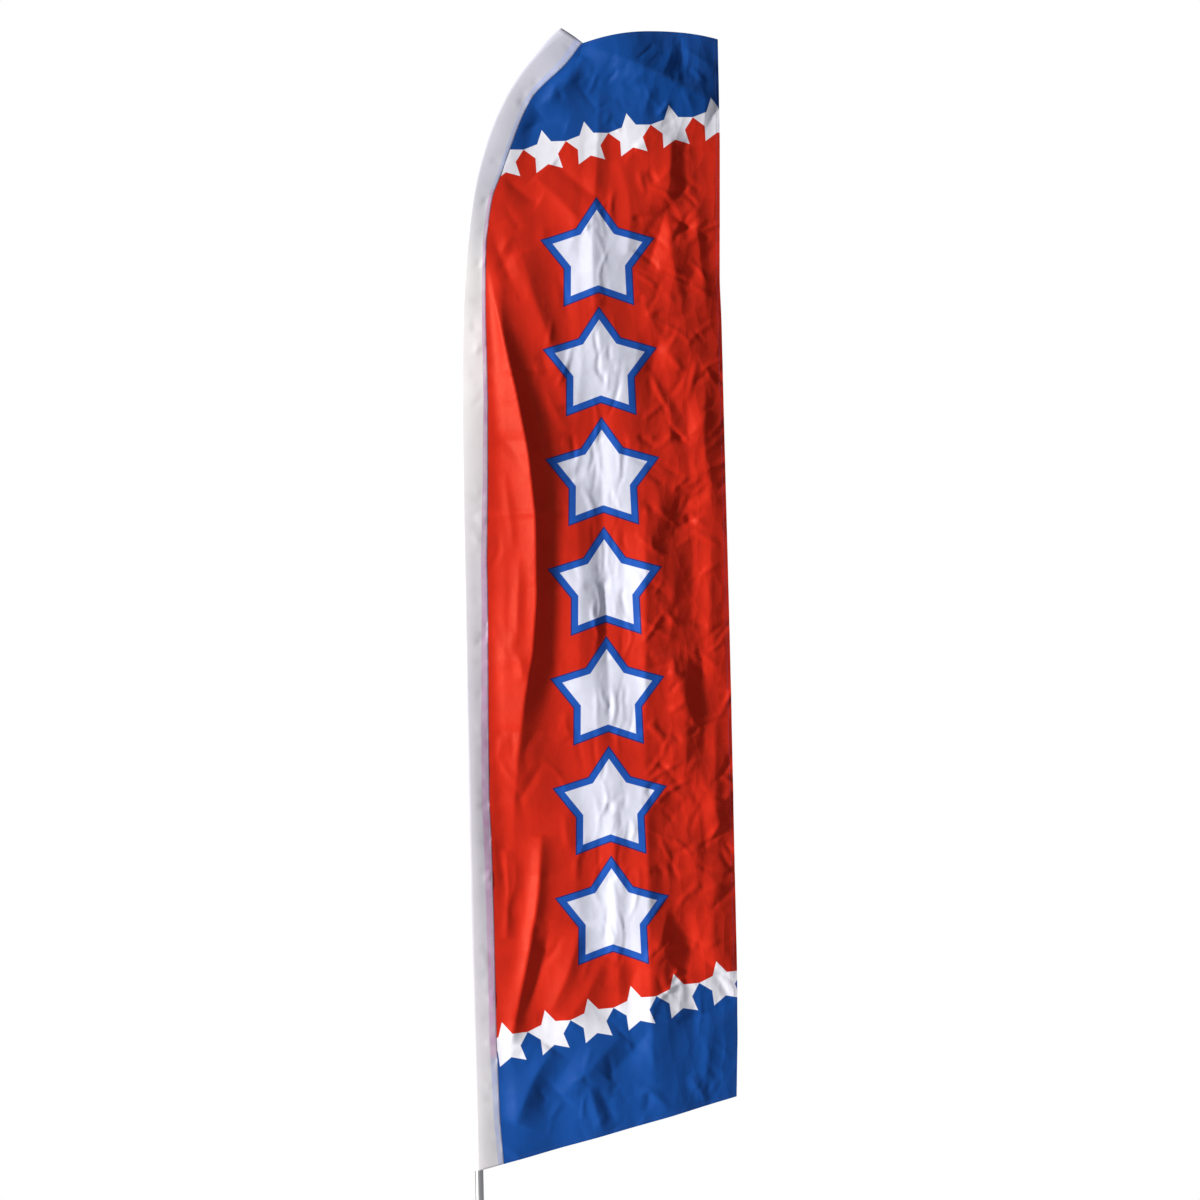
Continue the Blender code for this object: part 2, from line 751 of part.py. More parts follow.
def shade_round_pieces():
    for obj in PARTS.objects:
        if obj.type == "MESH":
            obj.data.shade_smooth()
            obj.data.set_sharp_from_angle(angle=math.radians(35))


clear_scene()
PARTS = new_collection("feather_flag_with_pole")
CUTTERS = new_collection("cutters", hidden=True)
make_spike()
make_housing()
make_bearing()
make_spindle()
make_pole_foot()
make_pole_tubes()
make_pole_tip()
make_snap_joints()
make_sleeve()
make_tip_pocket()
make_panel()
make_seam_tape()
shade_round_pieces()
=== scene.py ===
"""Cloth, stitching, finishes and studio for a feather flag on a sectional pole.

Lengths are in metres with +Z up. The cloth hangs in the XZ plane, from the pole towards
+X, and its printed front faces -Y. Lengths along the pole are measured from the ground
up its centreline, which is straight and then bends over towards +X.
"""

import math
from functools import partial

import bmesh
import bpy
import numpy as np
from bpy.props import FloatProperty, FloatVectorProperty, IntProperty, PointerProperty
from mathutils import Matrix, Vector


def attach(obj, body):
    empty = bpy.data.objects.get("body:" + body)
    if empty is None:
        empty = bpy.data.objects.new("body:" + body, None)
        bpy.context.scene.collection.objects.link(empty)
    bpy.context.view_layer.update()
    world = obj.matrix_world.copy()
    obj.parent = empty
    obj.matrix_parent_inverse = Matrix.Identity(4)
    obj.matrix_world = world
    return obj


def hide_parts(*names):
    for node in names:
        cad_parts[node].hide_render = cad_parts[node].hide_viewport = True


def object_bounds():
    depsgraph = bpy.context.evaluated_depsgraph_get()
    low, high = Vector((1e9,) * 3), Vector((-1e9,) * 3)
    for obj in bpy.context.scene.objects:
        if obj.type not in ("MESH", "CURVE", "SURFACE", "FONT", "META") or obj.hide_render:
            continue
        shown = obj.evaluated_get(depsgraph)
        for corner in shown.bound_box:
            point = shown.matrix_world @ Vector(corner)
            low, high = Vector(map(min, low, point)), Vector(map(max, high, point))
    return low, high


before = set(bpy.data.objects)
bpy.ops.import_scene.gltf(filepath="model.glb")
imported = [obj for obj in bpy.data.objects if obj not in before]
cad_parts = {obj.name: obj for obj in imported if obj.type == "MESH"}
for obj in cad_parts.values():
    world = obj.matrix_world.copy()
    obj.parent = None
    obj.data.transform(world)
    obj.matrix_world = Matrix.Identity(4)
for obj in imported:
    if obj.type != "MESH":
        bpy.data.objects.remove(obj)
CAD_BOX = [list(corner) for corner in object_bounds()]

bl_info = {
    "name": "Feather Flag Cloth",
    "version": (1, 0, 0),
    "blender": (4, 5, 0),
    "location": "View3D > Sidebar > Feather Flag",
    "description": "Makes the cloth, stitching, finishes and studio of a feather flag",
    "category": "Object",
}

# The pole's centreline
POLE_TOP = 4.575
BEND_START = 2.233
BEND_ANGLE = math.radians(58)
BEND_POWER = 5.6
POLE_STEP = 0.002

# Sleeve: (length along the pole, distance from its axis)
SLEEVE_TOP = 4.594
SLEEVE_BOTTOM = 0.994
SLEEVE_BOTTOM_SLOPE = 0.22  # the lower edge rises towards the seam
SLEEVE_TOP_SLOPE = 0.50  # the upper edge is cut on a slant too
PANEL_TOP = 4.616
SEAM_LINE = (
    (1.01, 0.077), (1.15, 0.068), (1.27, 0.066), (1.39, 0.063), (1.76, 0.063), (2.00, 0.061),
    (2.13, 0.057), (2.38, 0.060), (2.75, 0.0667), (2.87, 0.0665), (3.12, 0.0743), (3.37, 0.0776),
    (3.49, 0.0745), (3.61, 0.069), (3.74, 0.0625), (3.87, 0.054), (4.01, 0.053), (4.10, 0.0665),
    (4.20, 0.0687), (4.36, 0.0625), (4.46, 0.075), (4.50, 0.0770), (4.54, 0.0735), (4.588, 0.060),
    (4.62, 0.0455),
)
OUTER_LINE = (
    (1.00, 0.0142), (1.30, 0.0168), (1.80, 0.021), (2.20, 0.020), (2.50, 0.0145), (2.80, 0.0112),
    (3.40, 0.0112), (3.60, 0.0085), (3.85, 0.0085), (4.00, 0.0125), (4.30, 0.0135), (4.48, 0.0125),
    (4.588, 0.0245), (4.62, 0.0245),
)
DEPTH_LINE = (
    (1.00, 0.0141), (1.24, 0.0141), (1.30, 0.0128), (2.33, 0.0126), (2.42, 0.0110), (3.36, 0.0110),
    (3.46, 0.0085), (3.90, 0.0082), (4.10, 0.0080), (4.20, 0.0070), (4.588, 0.0068),
)
# Width of the panel's seam allowance inside the sleeve
ALLOWANCE_LINE = (
    (1.00, 0.017), (1.40, 0.022), (2.20, 0.024), (2.80, 0.020), (3.30, 0.015), (3.80, 0.011),
    (4.20, 0.012), (4.45, 0.020), (4.588, 0.022),
)
SLEEVE_CLOSING = 0.012  # the sleeve's two layers come together over this length at its top
SLEEVE_ARC = 19  # points round the pole in one ring of the sleeve
SLEEVE_FLANK = 9  # points on each side from there to the seam
SLEEVE_CREASE_COUNT = 110
SEAM_ROUNDING = 0.0015  # the flanks end this far before the seam
CLOSED_DEPTH = 0.02  # share of the depth that is left where the layers meet at the top
FREE_START = 0.012  # distance from the axis where the knit lifts off the pole and creases
FREE_REACH = 0.03
POCKET_SPAN = (0.955, 0.9975)  # shares of the sleeve's length between which the pocket lies
POCKET_INSET = 0.0012
POCKET_SEAM_INSET = 8  # times as far in at the seam
POCKET_ROWS = 24
SEAM_STITCH = 0.004  # distance of the sleeve's stitches from the seam
THREAD_LIFT = 0.0002
END_STITCH_ROW = 4  # ring of the sleeve, counted from each end, that its end stitches follow
LINE_SOFTENING = 0.02  # the outlines above are rounded over this length

# Panel
PANEL_START = 1.011
FLY_BOTTOM = 1.197
FLY_TOP = 4.467
FLY_LINE = (
    (1.20, 0.799), (1.38, 0.806), (1.62, 0.809), (2.40, 0.810), (3.00, 0.808), (3.60, 0.806),
    (3.72, 0.803), (4.15, 0.813), (4.47, 0.814),
)
TOP_EDGE_RISE = 0.029
HEM_STEPS = {"up": 420, "across": 130}
HEM_STITCH = 0.8  # where its stitches run, as a share of the hem's width
STITCH_SPANS = {"up": (0.003, 0.997, 500), "across": (0.012, 0.985, 160)}  # start, end, steps
TAPE_GAP = 0.0010  # from the panel to the binding tape
TAPE_START = 0.0005  # from the seam
TAPE_SPAN = (0.002, 0.998, 600)

# Print: (x, z) of one star's centre in each chain, and of the middle of the column
TOP_CHAIN_CENTRE = (0.407, 4.147)
BOTTOM_CHAIN_CENTRE = (0.364, 1.446)
COLUMN_CENTRE = (0.428, 2.800)
STAR_POINTS = 5
CHAIN_STAR_FATNESS = 0.53  # a star's inner radius as a share of its outer one
COLUMN_STAR_FATNESS = 0.60
COLUMN_STAR_DROP = 0.095  # share of its radius that centres a star by height
PRINT_EDGE = 0.0006  # softness of a printed edge

# Soft rolls of the hanging cloth: (x, z, x, z, ...), half width, height towards the front
ROLLS = (
    ((0.19, 3.82, 0.235, 3.66, 0.29, 3.5, 0.33, 3.34), 0.04, 0.012),
    ((0.09, 3.99, 0.115, 3.91), 0.022, 0.006),
    # under the upper stars
    ((0.136, 4.06, 0.2, 4.0, 0.25, 3.97), 0.022, -0.007),
    ((0.3, 4.09, 0.38, 4.02, 0.45, 3.96), 0.024, -0.008),
    ((0.24, 4.05, 0.33, 3.96, 0.4, 3.88), 0.028, 0.007),
    ((0.5, 4.1, 0.53, 3.96, 0.52, 3.8), 0.03, 0.006),
    # the lower left
    ((0.215, 2.02, 0.2, 1.84, 0.172, 1.68, 0.138, 1.52, 0.105, 1.38), 0.026, 0.02),
    ((0.105, 1.98, 0.108, 1.84, 0.098, 1.7), 0.018, 0.009),
    ((0.33, 1.74, 0.29, 1.6, 0.23, 1.47), 0.03, 0.011),
    ((0.235, 1.76, 0.2, 1.62, 0.13, 1.45), 0.022, -0.007),
    ((0.4, 1.64, 0.34, 1.52, 0.27, 1.44), 0.04, 0.008),
    ((0.5, 1.62, 0.47, 1.52), 0.035, -0.007),
    # the blue foot of the flag
    ((0.235, 1.36, 0.175, 1.27, 0.115, 1.13), 0.042, 0.017),
    ((0.33, 1.38, 0.25, 1.27, 0.19, 1.17), 0.034, -0.004),
    ((0.45, 1.4, 0.36, 1.31, 0.26, 1.22), 0.05, 0.012),
    ((0.56, 1.46, 0.49, 1.36, 0.4, 1.27), 0.04, -0.008),
    # the blue head
    ((0.25, 4.26, 0.34, 4.33, 0.39, 4.42), 0.04, 0.01),
    ((0.18, 4.17, 0.27, 4.22, 0.34, 4.2), 0.024, -0.006),
    # the fly side
    ((0.705, 4.16, 0.7, 4.02, 0.705, 3.86), 0.03, -0.004),
    ((0.65, 3.92, 0.655, 3.8, 0.69, 3.62), 0.03, 0.0074),
    ((0.735, 3.98, 0.745, 3.8, 0.76, 3.6), 0.03, 0.0068),
    ((0.6, 3.5, 0.64, 3.32, 0.63, 3.1), 0.038, 0.0056),
    ((0.7, 3.5, 0.695, 3.3, 0.7, 3.12), 0.028, -0.0062),
    ((0.755, 3.42, 0.745, 3.22, 0.765, 3.02), 0.026, 0.0068),
    ((0.68, 3.06, 0.7, 2.86, 0.69, 2.66), 0.032, -0.0056),
    ((0.62, 2.98, 0.64, 2.8, 0.62, 2.6), 0.034, 0.005),
    ((0.76, 2.9, 0.75, 2.7, 0.77, 2.5), 0.026, 0.0062),
    ((0.73, 2.62, 0.72, 2.45, 0.725, 2.25), 0.024, -0.0056),
    ((0.66, 2.56, 0.67, 2.36, 0.655, 2.16), 0.034, 0.0062),
    ((0.765, 2.36, 0.755, 2.16, 0.765, 1.96), 0.026, 0.0062),
    ((0.71, 2.14, 0.72, 1.96, 0.7, 1.8), 0.03, -0.0068),
    ((0.61, 2.1, 0.6, 1.92, 0.62, 1.76), 0.036, 0.005),
    ((0.745, 1.86, 0.73, 1.7, 0.75, 1.58), 0.03, 0.0062),
    ((0.65, 1.78, 0.66, 1.64, 0.64, 1.54), 0.03, -0.005),
    # between the column and the ridge
    ((0.34, 3.1, 0.35, 2.8, 0.34, 2.45), 0.045, 0.007),
    ((0.3, 2.2, 0.31, 1.95, 0.33, 1.75), 0.045, 0.007),
    ((0.36, 3.75, 0.37, 3.5, 0.35, 3.25), 0.045, 0.006),
)

# The long fold beside the seam: (height above the ground, x of its crest, how far it stands out)
SEAM_FOLD = (
    (1.95, 0.125, 0.0), (2.10, 0.132, 0.006), (2.28, 0.150, 0.014), (2.44, 0.172, 0.026),
    (2.58, 0.200, 0.035), (2.75, 0.216, 0.041), (3.00, 0.218, 0.046), (3.20, 0.200, 0.047),
    (3.38, 0.168, 0.043), (3.54, 0.134, 0.034), (3.70, 0.100, 0.021), (3.88, 0.078, 0.0),
)
SEAM_FOLD_START = 0.066  # x where it rises from the seam
SEAM_FOLD_BACK = 0.040  # its steep side falls away over about this length
FLY_BEND_START = 0.42  # x where the free side starts to trail backwards
FLY_BEND = 0.26

# Slow waves of the whole cloth: height, wave length, and how they turn with x and with z
WAVES = ((0.0035, 0.24, 1.0, 0.16), (0.0040, 1.1, -0.3, 1.0))

# Sharp creases: (x, z, x, z, ...), half width, height
CREASES = (
    # vertical package creases
    ((0.453, 4.43, 0.432, 4.1, 0.411, 3.8, 0.428, 3.4), 0.018, 0.006),
    ((0.428, 3.4, 0.425, 3.0, 0.43, 2.6, 0.438, 2.2), 0.018, -0.006),
    ((0.438, 2.2, 0.44, 1.8, 0.446, 1.4), 0.018, 0.006),
    ((0.56, 3.06, 0.552, 2.8, 0.546, 2.5, 0.541, 2.26), 0.03, 0.013),
    ((0.541, 2.36, 0.541, 2.0, 0.541, 1.6, 0.541, 1.21), 0.032, 0.013),
    # the diagonal fold across the head, and its short neighbour
    ((0.397, 4.449, 0.55, 4.39, 0.7, 4.322, 0.811, 4.264), 0.052, 0.032),
    ((0.68, 4.458, 0.745, 4.415, 0.812, 4.37), 0.02, 0.006),
    ((0.675, 4.48, 0.665, 4.41, 0.63, 4.34), 0.012, 0.0045),
    ((0.7, 4.48, 0.702, 4.41, 0.69, 4.36), 0.01, -0.004),
    ((0.61, 4.32, 0.59, 4.27, 0.58, 4.23), 0.01, 0.0035),
    ((0.66, 4.27, 0.63, 4.23), 0.009, 0.003),
    ((0.31, 4.34, 0.29, 4.27), 0.012, 0.003),
    # the peak on the fly side below the stars
    ((0.665, 4.18, 0.657, 4.06, 0.643, 3.95), 0.028, 0.01),
    ((0.643, 3.95, 0.612, 3.85, 0.579, 3.75), 0.02, -0.011),
    ((0.643, 3.95, 0.68, 3.905, 0.735, 3.87), 0.018, -0.008),
    ((0.718, 4.14, 0.716, 4.02, 0.722, 3.93), 0.012, 0.003),
    # beside the seam
    ((0.166, 2.88, 0.158, 2.72, 0.15, 2.59), 0.012, 0.005),
    ((0.126, 3.14, 0.142, 2.98, 0.148, 2.9), 0.01, 0.003),
    ((0.095, 3.89, 0.135, 3.79, 0.19, 3.655), 0.016, -0.006),
    ((0.055, 2.1, 0.09, 1.93, 0.117, 1.765), 0.016, -0.0055),
    ((0.1, 2.33, 0.085, 2.25), 0.01, 0.0035),
    ((0.086, 2.26, 0.14, 2.18), 0.008, 0.0025),
    # the foot
    ((0.345, 1.245, 0.365, 1.17, 0.385, 1.1), 0.012, 0.006),
    ((0.375, 1.24, 0.405, 1.17, 0.425, 1.12), 0.01, -0.004),
    ((0.5, 1.2, 0.525, 1.225, 0.56, 1.2, 0.59, 1.165), 0.01, 0.0045),
    ((0.53, 1.225, 0.52, 1.16), 0.01, -0.004),
    ((0.655, 1.27, 0.68, 1.23, 0.703, 1.19), 0.012, 0.0055),
    ((0.718, 1.46, 0.712, 1.34, 0.702, 1.215), 0.02, 0.007),
    ((0.62, 1.43, 0.7, 1.455, 0.79, 1.48), 0.02, -0.006),
    ((0.076, 1.06, 0.132, 1.03), 0.01, 0.004),
)

PACKAGE_CREASE_START = 1.23  # height of the lowest horizontal crease
PACKAGE_CREASE_PITCH = 0.2225
PACKAGE_CREASE_COUNT = 15
PACKAGE_CREASE_HEIGHT = 0.0034
PACKAGE_COLUMNS = (0.43, 0.55, 0.69)  # where the crossings of creases crumple
PACKAGE_CROSSING_TIPS = 4  # short creases round each crossing

# Random crumples: count, x range, z range, length range, (lean to either side of vertical,
# spread of the lean), half width range, height range
CRUMPLES = (
    (150, (0.56, 0.81), (1.50, 4.05), (0.04, 0.14), (0.75, 0.30), (0.005, 0.009), (0.0020, 0.0042)),
    (26, (0.58, 0.80), (1.50, 3.95), (0.16, 0.34), (0.30, 0.25), (0.020, 0.034), (0.0040, 0.0080)),
    (80, (0.385, 0.50), (1.65, 3.95), (0.05, 0.17), (0.05, 0.12), (0.004, 0.006), (0.0012, 0.0026)),
    (44, (0.08, 0.40), (1.45, 3.95), (0.05, 0.16), (0.20, 0.25), (0.006, 0.014), (0.0014, 0.0036)),
    (26, (0.30, 0.80), (4.18, 4.47), (0.04, 0.11), (0.60, 0.40), (0.005, 0.009), (0.0010, 0.0026)),
    (22, (0.12, 0.78), (1.10, 1.42), (0.04, 0.11), (0.60, 0.40), (0.005, 0.009), (0.0010, 0.0028)),
)
CRUMPLE_SEED = 11
SHARP_REACH = 2.2  # a sharp crease's flanks run this many half widths to each side
ROLL_REACH = 2.8
SLEEVE_SEED = 5

FLOOR_GAP = 0.002  # from the spike's point down to the floor


def linear(code):
    """The linear RGB of an sRGB colour written as a hex code."""
    channels = [int(code[i : i + 2], 16) / 255 for i in (0, 2, 4)]
    return tuple(c / 12.92 if c <= 0.04045 else ((c + 0.055) / 1.055) ** 2.4 for c in channels)


# --- settings -----------------------------------------------------------------------


def amount(name, default, description, **more):
    return FloatProperty(name=name, description=description, default=default, **more)


def length(name, default, description):
    return amount(name, default, description, min=0.0, precision=4, unit="LENGTH")


def angle(name, degrees, description):
    return amount(name, math.radians(degrees), description, subtype="ANGLE")


def whole(name, default, description):
    return IntProperty(name=name, description=description, default=default, min=1)


def colour(name, code, description):
    return FloatVectorProperty(name=name, description=description, default=linear(code),
                               size=3, min=0.0, max=1.0, subtype="COLOR")


class ClothSettings(bpy.types.PropertyGroup):
    """Sizes of the cloth pieces."""

    panel_columns: whole("Panel columns", 146, "Faces across the panel")
    panel_rows: whole("Panel rows", 676, "Faces up the panel")
    sleeve_rows: whole("Sleeve rows", 620, "Faces up the sleeve")
    fold_depth: amount("Fold depth", 1.0, "Scales every fold and crease of the panel",
                       min=0.0, max=2.0, subtype="FACTOR")
    seam_hold: amount("Seam hold", 0.25, "Share of a fold's height that is left at the seam",
                      min=0.0, max=1.0, subtype="FACTOR")
    seam_reach: length("Seam reach", 0.055, "Distance from the seam where folds are at full height")
    sleeve_cloth: length("Sleeve cloth", 0.0005, "Thickness of the sleeve's knit")
    nose: length("Nose", 0.0010, "Half thickness of the sleeve where it is sewn to the panel")
    hem_width: length("Hem width", 0.012, "Width of the hem that is turned to the back")
    hem_cloth: length("Hem cloth", 0.0004, "Thickness of one layer in the hem")
    tape_width: length("Tape width", 0.012, "Width of the binding behind the seam")
    tape_cloth: length("Tape cloth", 0.0006, "Thickness of the binding")
    stitch_pitch: length("Stitch pitch", 0.0042, "Distance from one stitch to the next")
    stitch_length: length("Stitch length", 0.0032, "Length of one stitch")
    thread_radius: length("Thread radius", 0.00042, "Radius of the sewing thread")


class PrintSettings(bpy.types.PropertyGroup):
    """Sizes and colours of the print."""

    chain_slope_top: angle("Top chain slope", 9.9, "Slope of the upper star chain")
    chain_slope_bottom: angle("Bottom chain slope", 14.4, "Slope of the lower star chain")
    chain_star_top: length("Top chain star", 0.0700, "Radius of a star in the upper chain")
    chain_star_bottom: length("Bottom chain star", 0.0722, "Radius of a star in the lower chain")
    column_star: length("Column star", 0.186, "Radius of a large star with its outline")
    column_pitch: length("Column pitch", 0.338, "Distance between the centres of large stars")
    column_count: whole("Column count", 7, "Number of large stars")
    outline: length("Outline", 0.023, "Width of the blue outline round a large star")
    keyline: length("Keyline", 0.0034, "Width of the dark line round the outline")
    red: colour("Red", "b82213", "Ink of the field")
    blue: colour("Blue", "0a438e", "Ink of the head and the foot")
    outline_blue: colour("Outline blue", "184ea8", "Ink of the outlines")
    navy: colour("Navy", "1a2060", "Ink of the keylines")
    white: colour("White", "d8dae6", "Unprinted cloth of the chains")
    star_fill: colour("Star fill", "cbcfe2", "Cloth inside the large stars")


class StageSettings(bpy.types.PropertyGroup):
    """Light, floor and camera."""

    key_strength: amount("Key strength", 6.8, "Strength of the main light", min=0.0)
    fill_strength: amount("Fill strength", 0.42, "Strength of the light from the front", min=0.0)
    back_strength: amount("Back strength", 2.2, "Strength of the light behind the flag", min=0.0)
    sky_strength: amount("Sky strength", 0.13, "Strength of the light from all round", min=0.0)
    softness: angle("Softness", 9, "Angle that each light fills")
    camera_distance: length("Camera distance", 9.0, "Distance from the flag's plane to the camera")
    camera_lens: amount("Camera lens", 87.66, "Focal length in millimetres", min=1.0)
    camera_roll: angle("Camera roll", 1.28, "Turn of the picture about the line of sight")
    camera_x: amount("Camera across", 0.4113, "Where the camera stands along X", unit="LENGTH")
    camera_z: length("Camera height", 2.741, "Height of the camera")
    floor_radius: length("Floor radius", 6.0, "Radius of the floor")


# --- pole and outlines --------------------------------------------------------------


def lean(along):
    """The centreline's angle from the vertical at these lengths along the pole."""
    share = np.maximum(0.0, along - BEND_START) / (POLE_TOP - BEND_START)
    return BEND_ANGLE * share**BEND_POWER


def pole_table():
    """Lengths along the pole with the centreline's x and z at each."""
    along = np.arange(0.0, PANEL_TOP + 20 * POLE_STEP, POLE_STEP)
    angle = lean(along[:-1] + POLE_STEP / 2)
    x = np.concatenate(([0.0], np.cumsum(np.sin(angle) * POLE_STEP)))
    z = np.concatenate(([0.0], np.cumsum(np.cos(angle) * POLE_STEP)))
    return along, x, z


POLE = pole_table()


def beside_pole(along, right):
    """The x and z of points this far to the right of the centreline, square to it."""
    angle = lean(along)
    x = np.interp(along, POLE[0], POLE[1])
    z = np.interp(along, POLE[0], POLE[2])
    return x + np.cos(angle) * right, z - np.sin(angle) * right


def follow(line, at):
    """A value read from an outline's points, rounded where they turn."""
    places, values = zip(*line)
    taps = np.linspace(-LINE_SOFTENING, LINE_SOFTENING, 7)
    return sum(np.interp(at + tap, places, values) for tap in taps) / len(taps)


# --- folds --------------------------------------------------------------------------


def rounded(points, steps=5):
    """A smooth curve through the points of a fold."""
    points = np.array(points, dtype=float).reshape(-1, 2)
    if len(points) < 3:
        return points
    ends = np.vstack([2 * points[0] - points[1], points, 2 * points[-1] - points[-2]])
    curve = []
    for before, start, end, after in zip(ends, ends[1:], ends[2:], ends[3:]):
        for t in np.arange(steps) / steps:
            pull = (end - before) * t + (2 * before - 5 * start + 4 * end - after) * t**2
            bend = (3 * start - before - 3 * end + after) * t**3
            curve.append(start + 0.5 * (pull + bend))
    curve.append(points[-1])
    return np.array(curve)


def add_fold(height, x, z, points, width, rise, sharp):
    """Adds one fold to the heights of the points (x, z) that lie near it."""
    line = rounded(points)
    reach = width * (SHARP_REACH if sharp else ROLL_REACH)
    near = np.flatnonzero(
        (x > line[:, 0].min() - reach) & (x < line[:, 0].max() + reach)
        & (z > line[:, 1].min() - reach) & (z < line[:, 1].max() + reach)
    )
    if not len(near):
        return
    here = np.stack([x[near], z[near]], axis=1)
    runs = np.linalg.norm(np.diff(line, axis=0), axis=1)
    before = np.concatenate(([0.0], np.cumsum(runs)))
    nearest = np.full(len(near), np.inf)
    place = np.zeros(len(near))
    for number, run in enumerate(runs):
        way = (line[number + 1] - line[number]) / run
        along = np.clip((here - line[number]) @ way, 0.0, run)
        gap = np.linalg.norm(here - line[number] - along[:, None] * way, axis=1)
        closer = gap < nearest
        nearest[closer] = gap[closer]
        place[closer] = before[number] + along[closer]
    share = place / before[-1]
    taper = np.clip(4 * share * (1 - share), 0.0, 1.0) ** (0.7 if sharp else 0.45)
    if sharp:
        soften = 0.10 * width
        away = (np.hypot(nearest, soften) - soften) / (SHARP_REACH * width)
        shape = np.maximum(0.0, 1.0 - away) ** 1.3
    else:
        shape = np.exp(-((nearest / width) ** 1.4))
    height[near] += rise * shape * taper


def package_creases():
    """Horizontal creases from the folded pack, whose height changes along their length."""
    rng = np.random.default_rng(CRUMPLE_SEED + 1)
    creases = []
    for number in range(PACKAGE_CREASE_COUNT):
        z = PACKAGE_CREASE_START + number * PACKAGE_CREASE_PITCH
        x = 0.05
        while x < 0.82:
            run = rng.uniform(0.10, 0.26)
            tilt = rng.uniform(-0.05, 0.05)
            rise = PACKAGE_CREASE_HEIGHT * rng.uniform(0.3, 1.3) * (-1) ** number
            line = ((x, z), (x + run, z + run * tilt))
            creases.append((line, rng.uniform(0.010, 0.018), rise))
            x += run * 0.8
        for column in PACKAGE_COLUMNS:
            side = rng.choice((-1, 1))
            lift = rng.uniform(0.0007, 0.0019)
            for turn in rng.uniform(0, 2 * math.pi, PACKAGE_CROSSING_TIPS):
                run = rng.uniform(0.02, 0.06)
                tip = (column + run * math.cos(turn), z + run * math.sin(turn))
                creases.append((((column, z), tip), rng.uniform(0.006, 0.012), side * lift))
    return creases


def crumples():
    """Short creases with random places, lengths and directions."""
    rng = np.random.default_rng(CRUMPLE_SEED)
    creases = []
    for count, across, up, run_range, (lean_by, spread), widths, rises in CRUMPLES:
        for _ in range(count):
            x, z = rng.uniform(*across), rng.uniform(*up)
            turn = lean_by * rng.choice((-1, 1)) + rng.normal(0.0, spread)
            half = rng.uniform(*run_range) / 2
            dx, dz = half * math.sin(turn), half * math.cos(turn)
            kink = rng.normal(0.0, half * 0.16)
            line = ((x - dx, z - dz), (x + kink, z), (x + dx, z + dz))
            rise = rng.uniform(*rises) * rng.choice((-1, 1))
            creases.append((line, rng.uniform(*widths), rise))
    return creases


def seam_fold(x, z):
    """The long fold beside the seam: it rises slowly from the seam and drops behind its crest."""
    heights, crests, rises = zip(*SEAM_FOLD)
    crest = follow(tuple(zip(heights, crests)), z)
    rise = follow(tuple(zip(heights, rises)), z)
    front = np.clip((x - SEAM_FOLD_START) / (crest - SEAM_FOLD_START), 0.0, 1.0)
    back = np.maximum(0.0, x - crest) / SEAM_FOLD_BACK
    return rise * np.where(x < crest, front**1.6, np.exp(-(back**1.25)))


def folds(x, z):
    """How far the cloth stands towards the front at each point."""
    flat_x, flat_z = np.ravel(x), np.ravel(z)
    height = seam_fold(flat_x, flat_z) - FLY_BEND * np.maximum(0.0, flat_x - FLY_BEND_START) ** 2
    for rise, wave, by_x, by_z in WAVES:
        height += rise * np.sin(2 * math.pi * (by_x * flat_x + by_z * flat_z) / wave)
    for points, width, rise in ROLLS:
        add_fold(height, flat_x, flat_z, points, width, rise, sharp=False)
    for points, width, rise in (*CREASES, *package_creases(), *crumples()):
        add_fold(height, flat_x, flat_z, points, width, rise, sharp=True)
    return height.reshape(np.shape(x))


# --- the panel's surface ------------------------------------------------------------


def ease(share):
    """A smooth step from 0 to 1."""
    share = np.clip(share, 0.0, 1.0)
    return share * share * (3 - 2 * share)


def panel_edges(up):
    """The seam end and the fly end of the panel's rows, as x and z arrays."""
    along = PANEL_START + (PANEL_TOP - PANEL_START) * up
    left = beside_pole(along, follow(SEAM_LINE, along))
    right_z = FLY_BOTTOM + (FLY_TOP - FLY_BOTTOM) * up
    return left, (follow(FLY_LINE, right_z), right_z)


def panel_points(across, up):
    """Points of the panel: across runs from the seam (0) to the fly edge (1), up from the foot."""
    cloth = bpy.context.scene.flag_cloth
    (left_x, left_z), (right_x, right_z) = panel_edges(up)
    rise = TOP_EDGE_RISE * np.maximum(0.0, up * 6 - 5)
    x = left_x + (right_x - left_x) * across
    z = left_z + (right_z - left_z) * across + rise * 4 * across * (1 - across)
    from_seam = across * np.hypot(right_x - left_x, right_z - left_z)
    held = cloth.seam_hold + (1 - cloth.seam_hold) * ease(from_seam / cloth.seam_reach)
    y = -folds(x, z) * held * cloth.fold_depth
    return np.stack([x, y, z], axis=-1)


def row_width(up):
    (left_x, left_z), (right_x, right_z) = panel_edges(up)
    return np.hypot(right_x - left_x, right_z - left_z)


# --- mesh helpers -------------------------------------------------------------------


def show(name, data):
    """A new object at the origin, in the scene."""
    obj = bpy.data.objects.new(name, data)
    bpy.context.scene.collection.objects.link(obj)
    return obj


def new_piece(name, points, faces, finish):
    """A smooth-shaded mesh object at the origin."""
    mesh = bpy.data.meshes.new(name)
    mesh.from_pydata([tuple(p) for p in points], [], faces)
    mesh.materials.append(finish)
    mesh.shade_smooth()
    return show(name, mesh)


def grid_faces(rows, columns, closed=False):
    """Faces between rows of points; each row joins up with itself if closed."""
    faces = []
    for row in range(rows - 1):
        for i in range(columns if closed else columns - 1):
            after = (i + 1) % columns
            low, high = row * columns, (row + 1) * columns
            faces.append((low + i, low + after, high + after, high + i))
    return faces


def face_outwards(obj):
    shape = bmesh.new()
    shape.from_mesh(obj.data)
    bmesh.ops.recalc_face_normals(shape, faces=shape.faces)
    shape.to_mesh(obj.data)
    shape.free()


